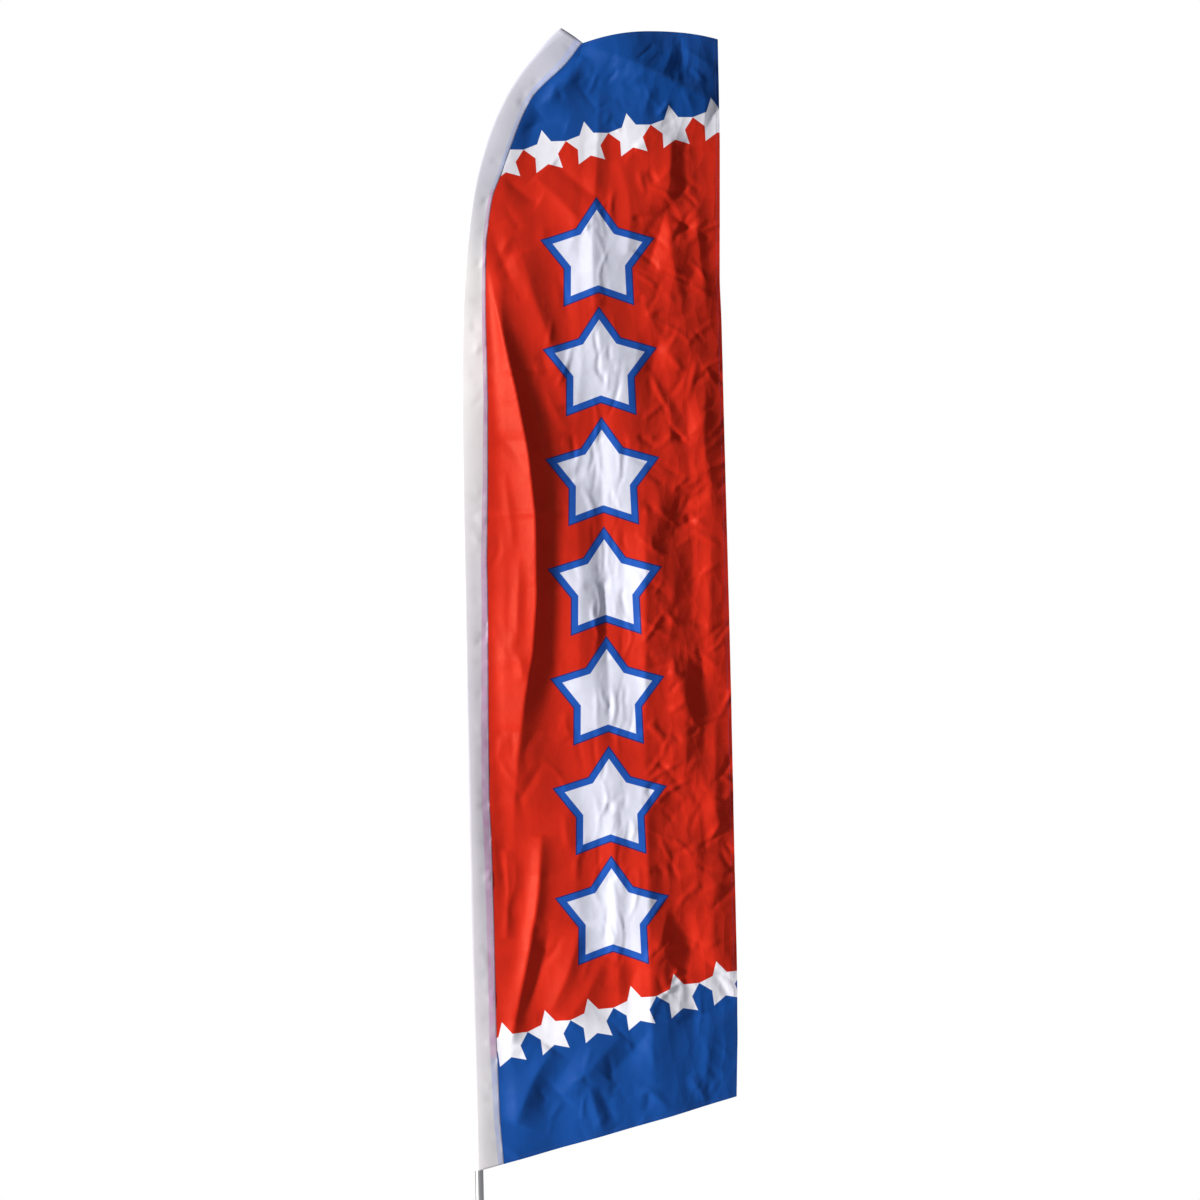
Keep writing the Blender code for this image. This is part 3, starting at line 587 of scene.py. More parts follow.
def strip(name, rings, finish, edges=35):
    """A closed band through rings of points, with both ends capped."""
    rows, columns = rings.shape[:2]
    faces = grid_faces(rows, columns, closed=True)
    faces.append(tuple(range(columns)))
    faces.append(tuple((rows - 1) * columns + i for i in reversed(range(columns))))
    obj = new_piece(name, rings.reshape(-1, 3), faces, finish)
    face_outwards(obj)
    obj.data.set_sharp_from_angle(angle=math.radians(edges))
    return obj


def sew(name, paths, thread):
    """Stitches along paths of points, as one mesh."""
    cloth = bpy.context.scene.flag_cloth
    points, edges = [], []
    for path in paths:
        start = len(points)
        points.extend(tuple(p) for p in path)
        edges.extend((start + i, start + i + 1) for i in range(len(path) - 1))
    mesh = bpy.data.meshes.new(name + "_path")
    mesh.from_pydata(points, edges, [])
    guide = show(name + "_path", mesh)
    tree = bpy.data.node_groups.get("stitches") or stitch_tree()
    modifier = guide.modifiers.new("stitches", "NODES")
    modifier.node_group = tree
    sizes = {
        "Pitch": cloth.stitch_pitch,
        "Length": cloth.stitch_length,
        "Radius": cloth.thread_radius,
        "Thread": thread,
    }
    for item in tree.interface.items_tree:
        if item.item_type == "SOCKET" and item.name in sizes:
            modifier[item.identifier] = sizes[item.name]
    evaluated = guide.evaluated_get(bpy.context.evaluated_depsgraph_get())
    made = bpy.data.meshes.new_from_object(evaluated)
    bpy.data.objects.remove(guide, do_unlink=True)
    made.name = name
    made.shade_smooth()
    return show(name, made)


def stitch_tree():
    """Geometry nodes that lay one thread ellipsoid at each pitch along an edge path."""
    tree = bpy.data.node_groups.new("stitches", "GeometryNodeTree")
    sockets = (
        ("Path", "NodeSocketGeometry", None),
        ("Pitch", "NodeSocketFloat", 0.004),
        ("Length", "NodeSocketFloat", 0.003),
        ("Radius", "NodeSocketFloat", 0.0004),
        ("Thread", "NodeSocketMaterial", None),
    )
    for name, kind, value in sockets:
        socket = tree.interface.new_socket(name, in_out="INPUT", socket_type=kind)
        if value is not None:
            socket.default_value = value
    tree.interface.new_socket("Stitches", in_out="OUTPUT", socket_type="NodeSocketGeometry")
    add = partial(add_node, tree)
    given = add("NodeGroupInput", output=None).outputs
    curve = add("GeometryNodeMeshToCurve", {"Mesh": given["Path"]})
    spots = add(
        "GeometryNodeCurveToPoints", {"Curve": curve, "Length": given["Pitch"]},
        output=None, mode="LENGTH",
    )
    grain = add("GeometryNodeMeshIcoSphere", {"Radius": 1.0, "Subdivisions": 1})
    half = add("Math", {0: given["Length"], 1: 0.5}, operation="MULTIPLY")
    size = add("CombineXYZ", {"X": given["Radius"], "Y": given["Radius"], "Z": half})
    stitch = add("GeometryNodeTransform", {"Geometry": grain, "Scale": size})
    placed = add(
        "GeometryNodeInstanceOnPoints",
        {
            "Points": spots.outputs["Points"], "Instance": stitch,
            "Rotation": spots.outputs["Rotation"],
        },
    )
    real = add("GeometryNodeRealizeInstances", {"Geometry": placed})
    dyed = add("GeometryNodeSetMaterial", {"Geometry": real, "Material": given["Thread"]})
    add("NodeGroupOutput", {"Stitches": dyed}, output=None)
    return tree


# --- finishes -----------------------------------------------------------------------


def add_node(tree, kind, inputs=(), output=0, **settings):
    """Adds a node with its settings, values and links, and returns one of its outputs. A kind
    that doesn't say Node is a shader node's."""
    node = tree.nodes.new(kind if "Node" in kind else "ShaderNode" + kind)
    for name, value in settings.items():
        setattr(node, name, value)
    for name, value in dict(inputs).items():
        if isinstance(value, bpy.types.NodeSocket):
            tree.links.new(value, node.inputs[name])
        else:
            node.inputs[name].default_value = value
    return node if output is None else node.outputs[output]


def new_finish(name):
    """An empty material, the call that adds a node to it, and its object coordinates."""
    material = bpy.data.materials.new(name)
    material.use_nodes = True
    tree = material.node_tree
    tree.nodes.clear()
    add = partial(add_node, tree)
    return material, add, add("TexCoord", output=3)


def close_finish(add, base, reliefs, **sockets):
    """Ends a material in layers of relief, each a height, strength and depth, under one
    Principled BSDF. Socket names are written with underscores."""
    inputs = {name.replace("_", " "): value for name, value in sockets.items()}
    inputs["Base Color"] = base
    for height, strength, depth in reliefs:
        relief = {"Height": height, "Strength": strength, "Distance": depth}
        if "Normal" in inputs:
            relief["Normal"] = inputs["Normal"]
        inputs["Normal"] = add("Bump", relief)
    shader = add("BsdfPrincipled", inputs)
    add("OutputMaterial", {"Surface": shader}, output=None)


def rgba(values):
    return (*values, 1.0)


def two_toned(add, dark, light, kind, inputs, output=0, **settings):
    """A pattern, and the colour that runs from dark to light with it."""
    pattern = add(kind, inputs, output, **settings)
    tones = {"Factor": pattern, 6: rgba(linear(dark)), 7: rgba(linear(light))}
    return pattern, add("Mix", tones, output=2, data_type="RGBA")


def overprint(add, ground, value, limit, ink, softness=PRINT_EDGE):
    """The ground with an ink laid over it where the value is under the limit."""
    share = add(
        "MapRange",
        {"Value": value, "From Min": limit - softness, "From Max": limit + softness,
         "To Min": 1.0, "To Max": 0.0},
    )
    return add("Mix", {"Factor": share, 6: ground, 7: rgba(ink)}, output=2, data_type="RGBA")


def uneven(add, spot, base, scale, least, most):
    """A colour that is a little darker and lighter in soft patches."""
    patches = add("TexNoise", {"Vector": spot, "Scale": scale, "Detail": 3.0})
    shade = add(
        "MapRange",
        {"Value": patches, "From Min": 0.3, "From Max": 0.7, "To Min": least, "To Max": most},
    )
    return add("VectorMath", {0: base, "Scale": shade}, operation="SCALE")


def star_distance(add, across, up, radius, fatness):
    """Signed distance to a five-point star's outline: negative inside, in metres."""
    half = math.pi / STAR_POINTS
    inner = radius * fatness
    run = radius - inner * math.cos(half)
    climb = inner * math.sin(half)
    edge = math.hypot(run, climb)
    turn = add("Math", {0: across, 1: up}, operation="ARCTAN2")
    folded = add("Math", {0: turn, 1: half}, operation="PINGPONG")
    flat = add("CombineXYZ", {"X": across, "Y": up})
    far = add("VectorMath", {0: flat}, output=1, operation="LENGTH")
    sine = add("Math", {0: folded}, operation="SINE")
    cosine = add("Math", {0: folded}, operation="COSINE")
    way = add("CombineXYZ", {"X": sine, "Y": cosine})
    square = (run / edge, climb / edge, 0.0)
    facing = add("VectorMath", {0: way, 1: square}, output=1, operation="DOT_PRODUCT")
    reached = add("Math", {0: far, 1: facing}, operation="MULTIPLY")
    rim = radius * climb / edge
    return add("Math", {0: reached, 1: rim}, operation="SUBTRACT")


def star_row(add, spot, centre, slope, pitch, repeated):
    """Coordinates from a row's centre, and the one along the row wrapped into a single pitch."""
    turned = add(
        "Mapping",
        {"Vector": spot, "Location": (centre[0], 0, centre[1]), "Rotation": (0, -slope, 0)},
        vector_type="TEXTURE",
    )
    parts = add("SeparateXYZ", {"Vector": turned}, output=None).outputs
    cell = add("Math", {0: parts[repeated], 1: pitch / 2, 2: -pitch / 2}, operation="WRAP")
    return parts, cell


def print_colour(add, spot):
    """The flag's print: blue head and foot, red field, star chains and a column of stars."""
    inks = bpy.context.scene.flag_print
    shoulder = math.cos(2 * math.pi / STAR_POINTS)
    chains = (
        (TOP_CHAIN_CENTRE, inks.chain_slope_top, inks.chain_star_top, inks.red),
        (BOTTOM_CHAIN_CENTRE, inks.chain_slope_bottom, inks.chain_star_bottom, inks.blue),
    )
    ground = rgba(inks.blue)
    stars = []
    for centre, slope, radius, ink in chains:
        pitch = 2 * radius * math.sin(2 * math.pi / STAR_POINTS)
        parts, across = star_row(add, spot, centre, slope, pitch, "X")
        stars.append(star_distance(add, across, parts["Z"], radius, CHAIN_STAR_FATNESS))
        ground = overprint(add, ground, parts["Z"], radius * shoulder, ink)

    parts, up = star_row(add, spot, COLUMN_CENTRE, 0.0, inks.column_pitch, "Z")
    lowered = add("Math", {0: up, 1: inks.column_star * COLUMN_STAR_DROP}, operation="ADD")
    star = star_distance(add, parts["X"], lowered, inks.column_star, COLUMN_STAR_FATNESS)
    height = add("Math", {0: parts["Z"]}, operation="ABSOLUTE")
    end = inks.column_pitch / 2 * inks.column_count
    past = add("Math", {0: height, 1: end}, operation="SUBTRACT")
    column = add("Math", {0: star, 1: past}, operation="MAXIMUM")
    ground = overprint(add, ground, column, 0.0, inks.navy)
    ground = overprint(add, ground, column, -inks.keyline, inks.outline_blue)
    ground = overprint(add, ground, column, -inks.outline, inks.star_fill)
    for chain in stars:
        ground = overprint(add, ground, chain, 0.0, inks.white)
    return ground


def weave_height(add, vector, spacing, up="Z"):
    """The crossing threads of a plain weave along X and the up axis, as a height."""
    turns = add("VectorMath", {0: vector, 1: (math.pi / spacing,) * 3}, operation="MULTIPLY")
    waves = add("VectorMath", {0: turns}, operation="SINE")
    parts = add("SeparateXYZ", {"Vector": waves}, output=None).outputs
    return add("Math", {0: parts["X"], 1: parts[up]}, operation="MULTIPLY")


def printed_polyester():
    """Warp-knitted polyester with a dye print: a smooth satin cloth whose folds catch a soft
    sheen, with slightly uneven ink. Its loose free side is crumpled more finely than the folds
    reach. The threads are 0.3 mm apart and are drawn at 1.4 mm, or nothing of them would show."""
    material, add, spot = new_finish("printed_polyester")
    base = uneven(add, spot, print_colour(add, spot), 9.0, 0.92, 1.05)
    rubbed = add("TexNoise", {"Vector": spot, "Scale": 60.0, "Detail": 4.0})
    roughness = add("MapRange", {"Value": rubbed, "To Min": 0.42, "To Max": 0.58})
    wrinkles = add("TexNoise", {"Vector": spot, "Scale": 38.0, "Detail": 3.0})
    # a wandering offset keeps the crumples' edges from running straight
    wander = add("TexNoise", {"Vector": spot, "Scale": 7.0, "Detail": 2.0}, output=1)
    centred = add("VectorMath", {0: wander, 1: (0.5, 0.5, 0.5)}, operation="SUBTRACT")
    offset = add("VectorMath", {0: centred, "Scale": 0.04}, operation="SCALE")
    bent = add("VectorMath", {0: offset, 1: spot}, operation="ADD")
    stretched = add("Mapping", {"Vector": bent, "Scale": (26.0, 0.01, 10.0)})
    cells = add("TexVoronoi", {"Vector": stretched, "Scale": 1.0})
    across = add("SeparateXYZ", {"Vector": spot})
    loose = add(
        "MapRange",
        {"Value": across, "From Min": 0.48, "From Max": 0.66, "To Min": 0.25, "To Max": 1.0},
    )
    crumple = add("Math", {0: cells, 1: loose}, operation="MULTIPLY")
    threads = weave_height(add, spot, 0.0014)
    close_finish(
        add, base, ((wrinkles, 0.25, 0.003), (crumple, 0.8, 0.0040), (threads, 0.18, 0.0005)),
        Roughness=roughness, Specular_IOR_Level=0.12, Specular_Tint=(1.0, 0.82, 0.55, 1.0),
        Sheen_Weight=0.03, Sheen_Roughness=0.4,
    )
    return material


def white_knit():
    """White polyester knit of the sleeve: matt and slightly see-through, so that the panel's
    red and blue seam allowance shows faintly through it in a narrow band beside the seam. Its
    colour carries painted shade: whitest halfway up, and painted greyer towards the head, in the
    bend, and below, where the sleeve catches less light."""
    material, add, spot = new_finish("white_knit")
    chart = add("UVMap", uv_map="cloth")
    up = add("SeparateXYZ", {"Vector": chart}, output=1)
    down = add("Math", {0: up, 1: -1.0}, operation="MULTIPLY")
    inward = add("Attribute", output=2, attribute_name="allowance")
    wobble = add("TexNoise", {"Vector": spot, "Scale": 22.0, "Detail": 2.0})
    drift = add("Math", {0: wobble, 1: 0.25, 2: inward}, operation="MULTIPLY_ADD")
    allowance = add(
        "MapRange",
        {"Value": drift, "From Min": 1.06, "From Max": 1.18, "To Min": 1.0, "To Max": 0.0},
    )
    strength = add(
        "MapRange",
        {"Value": wobble, "From Min": 0.3, "From Max": 0.7, "To Min": 0.45, "To Max": 1.0},
    )
    shown = add("Math", {0: allowance, 1: strength}, operation="MULTIPLY")
    through = rgba(linear("b4c0ea"))
    for height, tone in ((4.03, "cfa6cf"), (1.34, "b4c0ea")):
        through = overprint(add, through, up, height, linear(tone), 0.01)
    plain = rgba(linear("f0f0f4"))
    # painted shade: greyer tones below the middle, in the bend and towards the head stand in for less
    # light there
    for value, limit, tone, spread in (
        (up, 2.95, "d3d2de", 0.45), (up, 1.42, "dfdfe6", 0.22),
        (down, -3.90, "cdcfdd", 0.15), (down, -4.42, "bfc1d2", 0.10),
    ):
        plain = overprint(add, plain, value, limit, linear(tone), spread)
    cloth = add("Mix", {"Factor": shown, 6: plain, 7: through}, output=2, data_type="RGBA")
    close_finish(
        add, uneven(add, spot, cloth, 7.0, 0.93, 1.03),
        ((weave_height(add, chart, 0.0016, "Y"), 0.2, 0.0005),),
        Roughness=0.72, Specular_IOR_Level=0.3, Sheen_Weight=0.1, Sheen_Roughness=0.5,
    )
    return material


def sewing_thread(name, dark, light):
    """Spun polyester thread: soft, with a twist that shows as fine slanting ridges, and painted
    shade that darkens the grooves between them.
    """
    material, add, spot = new_finish(name)
    # painted shade: the colour is darker in the twist's grooves and lighter on its ridges
    twist, base = two_toned(
        add, dark, light, "TexWave", {"Vector": spot, "Scale": 900.0, "Distortion": 1.0},
        bands_direction="DIAGONAL",
    )
    close_finish(add, base, ((twist, 0.4, 0.0002),), Roughness=0.6, Sheen_Weight=0.2)
    return material


def polyester_webbing():
    """Narrow woven tape: coarse cross ribs, matt and a little grey from handling, with painted
    shade that darkens the low points of the weave.
    """
    material, add, spot = new_finish("polyester_webbing")
    ribs = weave_height(add, spot, 0.0018)
    # painted shade: the colour runs from the darker tone in the weave's low points to the lighter one
    # on its ribs
    _, base = two_toned(add, "cfcfd6", "ececf0", "MapRange", {"Value": ribs, "From Min": -1.0})
    close_finish(add, base, ((ribs, 0.5, 0.0008),), Roughness=0.85, Sheen_Weight=0.15)
    return material


def plated_steel():
    """Zinc-plated mild steel: a grey spangle with a faint blue and yellow cast, duller where
    soil has scuffed it."""
    material, add, spot = new_finish("zinc_plated_steel")
    _, base = two_toned(
        add, "a3a8ae", "cccbc4", "TexVoronoi", {"Vector": spot, "Scale": 260.0}, output=1
    )
    scuffs = add("TexNoise", {"Vector": spot, "Scale": 45.0, "Detail": 6.0})
    roughness = add(
        "MapRange",
        {"Value": scuffs, "From Min": 0.35, "From Max": 0.65, "To Min": 0.24, "To Max": 0.46},
    )
    close_finish(add, base, ((scuffs, 0.15, 0.0006),), Metallic=1.0, Roughness=roughness)
    return material


def ground_steel(name, code, rough):
    """Hard ground steel: bright, with fine rings left by the grinding wheel."""
    material, add, spot = new_finish(name)
    rings = add(
        "TexWave", {"Vector": spot, "Scale": 420.0, "Distortion": 0.6}, bands_direction="Z"
    )
    roughness = add("MapRange", {"Value": rings, "To Min": rough * 0.8, "To Max": rough * 1.25})
    close_finish(
        add, rgba(linear(code)), ((rings, 0.08, 0.0003),), Metallic=1.0, Roughness=roughness
    )
    return material


def anodised_aluminium():
    """Drawn and clear-anodised aluminium tube: pale satin metal with faint lines along it."""
    material, add, spot = new_finish("anodised_aluminium")
    stretched = add("Mapping", {"Vector": spot, "Scale": (900.0, 900.0, 4.0)})
    lines, base = two_toned(
        add, "bfc2c6", "dcdee1", "TexNoise", {"Vector": stretched, "Scale": 1.0, "Detail": 3.0}
    )
    roughness = add("MapRange", {"Value": lines, "To Min": 0.26, "To Max": 0.40})
    close_finish(add, base, ((lines, 0.12, 0.0003),), Metallic=1.0, Roughness=roughness)
    return material


def moulded_plastic(name, dark, light, rough, grain):
    """Moulded plastic: an even spark-eroded grain, with slight flow marks in its colour."""
    material, add, spot = new_finish(name)
    _, base = two_toned(
        add, dark, light, "TexNoise", {"Vector": spot, "Scale": 30.0, "Detail": 3.0}
    )
    texture = add("TexNoise", {"Vector": spot, "Scale": grain, "Detail": 2.0})
    roughness = add("MapRange", {"Value": texture, "To Min": rough * 0.85, "To Max": rough * 1.15})
    close_finish(add, base, ((texture, 0.25, 0.0004),), Roughness=roughness)
    return material


def pultruded_fibreglass():
    """Pultruded glass-fibre rod: ivory resin with fine fibres along it, and a soft gloss."""
    material, add, spot = new_finish("pultruded_fibreglass")
    stretched = add("Mapping", {"Vector": spot, "Scale": (1400.0, 1400.0, 30.0)})
    fibres, base = two_toned(
        add, "cfc9b0", "efecdf", "TexNoise", {"Vector": stretched, "Scale": 1.0, "Detail": 4.0}
    )
    close_finish(
        add, base, ((fibres, 0.2, 0.0003),), Roughness=0.35, Coat_Weight=0.3, Coat_Roughness=0.2
    )
    return material


# --- cloth pieces -------------------------------------------------------------------


def hang(obj, slot, *nodes):
    """Puts a cloth piece on the pole, in place of the CAD nodes it stands for."""
    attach(obj, "pole")
    if nodes:
        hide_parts(*nodes)


def finish_named(name, make):
    return bpy.data.materials.get(name) or make()


def sleeve_creases():
    """Small creases of the sleeve as (distance from the axis, length along the pole) lines."""
    rng = np.random.default_rng(SLEEVE_SEED)
    creases = []
    for number in range(PACKAGE_CREASE_COUNT + 1):
        along = PACKAGE_CREASE_START + number * PACKAGE_CREASE_PITCH + rng.normal(0, 0.01)
        line = ((-0.01, along), (0.07, along + rng.normal(0, 0.006)))
        creases.append((line, 0.009, -0.0013 * rng.uniform(0.5, 1.5)))
    for _ in range(SLEEVE_CREASE_COUNT):
        right, along = rng.uniform(0.015, 0.06), rng.uniform(1.0, 4.55)
        run, turn = rng.uniform(0.02, 0.06), rng.uniform(-1.0, 1.0)
        tip = (right + run * math.sin(turn), along + run * math.cos(turn))
        creases.append((((right, along), tip), rng.uniform(0.006, 0.014),
                        rng.uniform(-0.0014, 0.0018)))
    return creases


def sleeve_rings(inset=0.0, start=0.0, end=1.0, rows=None):
    """Rings of points round the sleeve, with the distance from the seam and the length along."""
    cloth = bpy.context.scene.flag_cloth
    rows = rows or cloth.sleeve_rows + 1
    level = np.linspace(start, end, rows)[:, None]

    def along_at(right):
        low = SLEEVE_BOTTOM + SLEEVE_BOTTOM_SLOPE * np.maximum(0.0, right)
        high = SLEEVE_TOP + SLEEVE_TOP_SLOPE * right
        return low + (high - low) * level

    middle = along_at(np.zeros((1, 1)))
    seam = follow(SEAM_LINE, middle)
    for _ in range(4):
        seam = follow(SEAM_LINE, along_at(seam))
    outer = follow(OUTER_LINE, middle) - inset
    closing = ease((SLEEVE_TOP - middle) / SLEEVE_CLOSING) ** 0.5
    depth = follow(DEPTH_LINE, middle) - inset
    nose = cloth.nose - min(inset, cloth.nose * 0.5)
    seam = seam - inset * POCKET_SEAM_INSET
    # each flank leaves the round part where it is tangent, and runs straight to the seam
    meet = np.arccos(depth / seam)
    turn = meet + (2 * math.pi - 2 * meet) * np.linspace(0, 1, SLEEVE_ARC)[None, :]
    left = np.cos(turn) < 0
    arc_right = np.where(left, outer, depth) * np.cos(turn)
    arc_back = depth * np.sin(turn)
    share = np.linspace(0, 1, SLEEVE_FLANK + 1)[None, 1:]
    from_right, from_back = depth * np.cos(meet), depth * np.sin(meet)
    flank_right = from_right + (seam - SEAM_ROUNDING - from_right) * share
    flank_back = nose + (from_back - nose) * (1 - share**1.35)
    right = np.hstack([arc_right, flank_right, seam, flank_right[:, ::-1]])
    back = np.hstack([arc_back, -flank_back, seam * 0, flank_back[:, ::-1]])
    back = back * (CLOSED_DEPTH + (1 - CLOSED_DEPTH) * closing)
    along = along_at(right)
    x, z = beside_pole(along, right)
    free = ease((right - FREE_START) / FREE_REACH)
    if inset == 0.0:
        bumps = np.zeros(right.size)
        for line, width, rise in sleeve_creases():
            add_fold(bumps, right.ravel(), along.ravel(), line, width, rise, sharp=True)
        back = back + np.sign(back) * bumps.reshape(right.shape) * free
    swing = ease(right / seam) * cloth.seam_hold * cloth.fold_depth
    y = back - folds(x, z) * swing
    return np.stack([x, y, z], axis=-1), seam - right, along


def hem_rings(edge, inner, cloth):
    """Section of a turned hem along an edge: a rolled edge and a flat return at the back."""
    out = edge - inner
    out[:, 1] = 0
    width = np.linalg.norm(out, axis=1, keepdims=True)
    out = out / width
    back = np.array([0.0, 1.0, 0.0])
    section = (
        (edge, 0.0, -0.35), (edge, 1.0, -0.25), (edge, 1.6, 0.9), (edge, 1.0, 2.1),
        (edge, 0.0, 2.4), (inner, 0.0, 2.2), (inner, -0.6, 1.4), (inner, 0.0, 0.6),
        (edge, 0.0, 0.5),
    )
    rings = [base + out * reach * cloth + back * depth * cloth for base, reach, depth in section]
    return np.stack(rings, axis=1)


class FLAG_OT_make_panel(bpy.types.Operator):
    """Make the printed panel with its folds"""

    bl_idname = "flag.make_panel"
    bl_label = "Make Panel"

    def execute(self, context):
        cloth = context.scene.flag_cloth
        rows, columns = cloth.panel_rows + 1, cloth.panel_columns + 1
        up = np.linspace(0, 1, rows)[:, None]
        across = np.linspace(0, 1, columns)[None, :]
        points = panel_points(across, up)
        finish = finish_named("printed_polyester", printed_polyester)
        panel = new_piece("panel_cloth", points.reshape(-1, 3), grid_faces(rows, columns), finish)
        hang(panel, "printed_cloth", "flag_panel")
        return {"FINISHED"}


class FLAG_OT_make_sleeve(bpy.types.Operator):
    """Make the sleeve round the pole, and the webbing pocket in its top"""

    bl_idname = "flag.make_sleeve"
    bl_label = "Make Sleeve"

    def execute(self, context):
        cloth = context.scene.flag_cloth
        rings, from_seam, along = sleeve_rings()
        rows, columns = rings.shape[:2]
        faces = grid_faces(rows, columns, closed=True)
        finish = finish_named("white_knit", white_knit)
        sleeve = new_piece("sleeve_cloth", rings.reshape(-1, 3), faces, finish)
        chart = sleeve.data.uv_layers.new(name="cloth")
        corners = np.zeros(len(sleeve.data.loops), dtype=np.int32)
        sleeve.data.loops.foreach_get("vertex_index", corners)
        flat = np.stack([from_seam.ravel()[corners], along.ravel()[corners]], axis=1)
        chart.data.foreach_set("uv", flat.ravel())
        inward = sleeve.data.attributes.new("allowance", "FLOAT", "POINT")
        inward.data.foreach_set("value", (from_seam / follow(ALLOWANCE_LINE, along)).ravel())
        face_outwards(sleeve)
        wall = sleeve.modifiers.new("cloth", "SOLIDIFY")
        wall.thickness = cloth.sleeve_cloth
        wall.offset = -1.0
        hang(sleeve, "white_cloth", "pole_sleeve")

        rings, _, _ = sleeve_rings(POCKET_INSET, *POCKET_SPAN, POCKET_ROWS)
        rows, columns = rings.shape[:2]
        faces = grid_faces(rows, columns, closed=True)
        faces.append(tuple((rows - 1) * columns + i for i in range(columns)))
        webbing = finish_named("polyester_webbing", polyester_webbing)
        pocket = new_piece("tip_pocket", rings.reshape(-1, 3), faces, webbing)
        face_outwards(pocket)
        hang(pocket, "webbing", "sleeve_tip_pocket")
        return {"FINISHED"}


class FLAG_OT_make_hems(bpy.types.Operator):
    """Make the hems along the fly, head and foot, and the tape behind the seam"""

    bl_idname = "flag.make_hems"
    bl_label = "Make Hems and Tape"

    def execute(self, context):
        cloth = context.scene.flag_cloth
        printed = finish_named("printed_polyester", printed_polyester)
        inset_up = cloth.hem_width / (FLY_TOP - FLY_BOTTOM)
        up = np.linspace(0, 1, HEM_STEPS["up"])
        across = np.linspace(0, 1, HEM_STEPS["across"])
        inset_across = cloth.hem_width / row_width(up)
        edges = {
            "fly_hem": ((up * 0 + 1, up), (1 - inset_across, up)),
            "head_hem": ((across, across * 0 + 1), (across, across * 0 + 1 - inset_up)),
            "foot_hem": ((across, across * 0), (across, across * 0 + inset_up)),
        }
        for name, (edge, inner) in edges.items():
            rings = hem_rings(panel_points(*edge), panel_points(*inner), cloth.hem_cloth)
            hang(strip(name, rings, printed), "printed_cloth")

        webbing = finish_named("polyester_webbing", polyester_webbing)
        up = np.linspace(*TAPE_SPAN)
        near = panel_points(TAPE_START / row_width(up), up)
        far = panel_points(cloth.tape_width / row_width(up), up)
        middle = panel_points(cloth.tape_width / 2 / row_width(up), up)
        first = np.array([0.0, TAPE_GAP, 0.0])
        second = first + np.array([0.0, cloth.tape_cloth, 0.0])
        rings = [near + first, middle + first, far + first, far + second, middle + second,
                 near + second]
        tape = strip("binding_tape", np.stack(rings, axis=1), webbing)
        hang(tape, "webbing", "seam_tape")
        return {"FINISHED"}


class FLAG_OT_sew(bpy.types.Operator):
    """Sew the hems, the seam and the sleeve's ends"""

    bl_idname = "flag.sew"
    bl_label = "Sew"

    def execute(self, context):
        cloth = context.scene.flag_cloth
        dark = sewing_thread("navy_thread", "2b3972", "31407e")
        light = sewing_thread("white_thread", "d3d3d9", "e9e9ef")
        inset = cloth.hem_width * HEM_STITCH
        up = np.linspace(*STITCH_SPANS["up"])
        across = np.linspace(*STITCH_SPANS["across"])
        inset_up = inset / (FLY_TOP - FLY_BOTTOM)
        hems = [
            panel_points(1 - inset / row_width(up), up),
            panel_points(across, across * 0 + 1 - inset_up),
            panel_points(across, across * 0 + inset_up),
        ]
        hang(sew("hem_stitches", hems, dark), "webbing")

        rings, from_seam, _ = sleeve_rings()
        rows = [self.seam_row(rings, from_seam, side) for side in (-1, 1)]
        for ring in (rings[END_STITCH_ROW], rings[-END_STITCH_ROW]):
            rows.append(np.vstack([ring, ring[:1]]))
        hang(sew("sleeve_stitches", rows, light), "webbing")
        return {"FINISHED"}

    def seam_row(self, rings, from_seam, side):
        """A row of stitches beside the seam, on the front (-1) or the back (1) layer."""
        first = SLEEVE_ARC if side < 0 else SLEEVE_ARC + SLEEVE_FLANK + 1
        flank = np.arange(first, first + SLEEVE_FLANK)
        row = []
        for ring, distance in zip(rings, from_seam):
            order = flank[np.argsort(distance[flank], kind="stable")]
            row.append([np.interp(SEAM_STITCH, distance[order], ring[order, i]) for i in range(3)])
        return np.array(row) + np.array([0.0, side * THREAD_LIFT, 0.0])


class FLAG_OT_finish_hardware(bpy.types.Operator):
    """Give the pole and the ground spike their finishes"""

    bl_idname = "flag.finish_hardware"
    bl_label = "Finish Hardware"

    def execute(self, context):
        finishes = (
            (plated_steel(), "spike_shaft foot_plate bearing_housing spindle"),
            (ground_steel("ground_bearing_steel", "c9cacc", 0.20),
             "bearing_outer_race bearing_inner_race ball_cage tip_ferrule"),
            (ground_steel("blued_spring_steel", "b2b6bd", 0.30),
             "retaining_ring snap_button_lower snap_button_upper snap_spring_lower snap_spring_upper"),
            (anodised_aluminium(), "pole_base_tube pole_lower_tube pole_upper_tube"),
            (moulded_plastic("cast_nylon", "d3cfc2", "e6e3d9", 0.50, 700.0),
             "top_bush base_bush guide_bush"),
            (moulded_plastic("black_polypropylene", "17171a", "242429", 0.42, 520.0),
             "base_ferrule rod_plug plug_rim"),
            (moulded_plastic("black_rubber", "131314", "1e1e20", 0.78, 380.0),
             "dust_seal tip_cap"),
            (pultruded_fibreglass(), "tip_rod_lower tip_rod_upper"),
        )
        for finish, nodes in finishes:
            for node in nodes.split():
                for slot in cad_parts[node].material_slots:
                    slot.material = finish
        return {"FINISHED"}


class FLAG_OT_declare_cloth(bpy.types.Operator):
    """Does nothing: no cloth sizes are recorded"""

    bl_idname = "flag.declare_cloth"
    bl_label = "Declare Cloth"

    def execute(self, context):
        return {"FINISHED"}


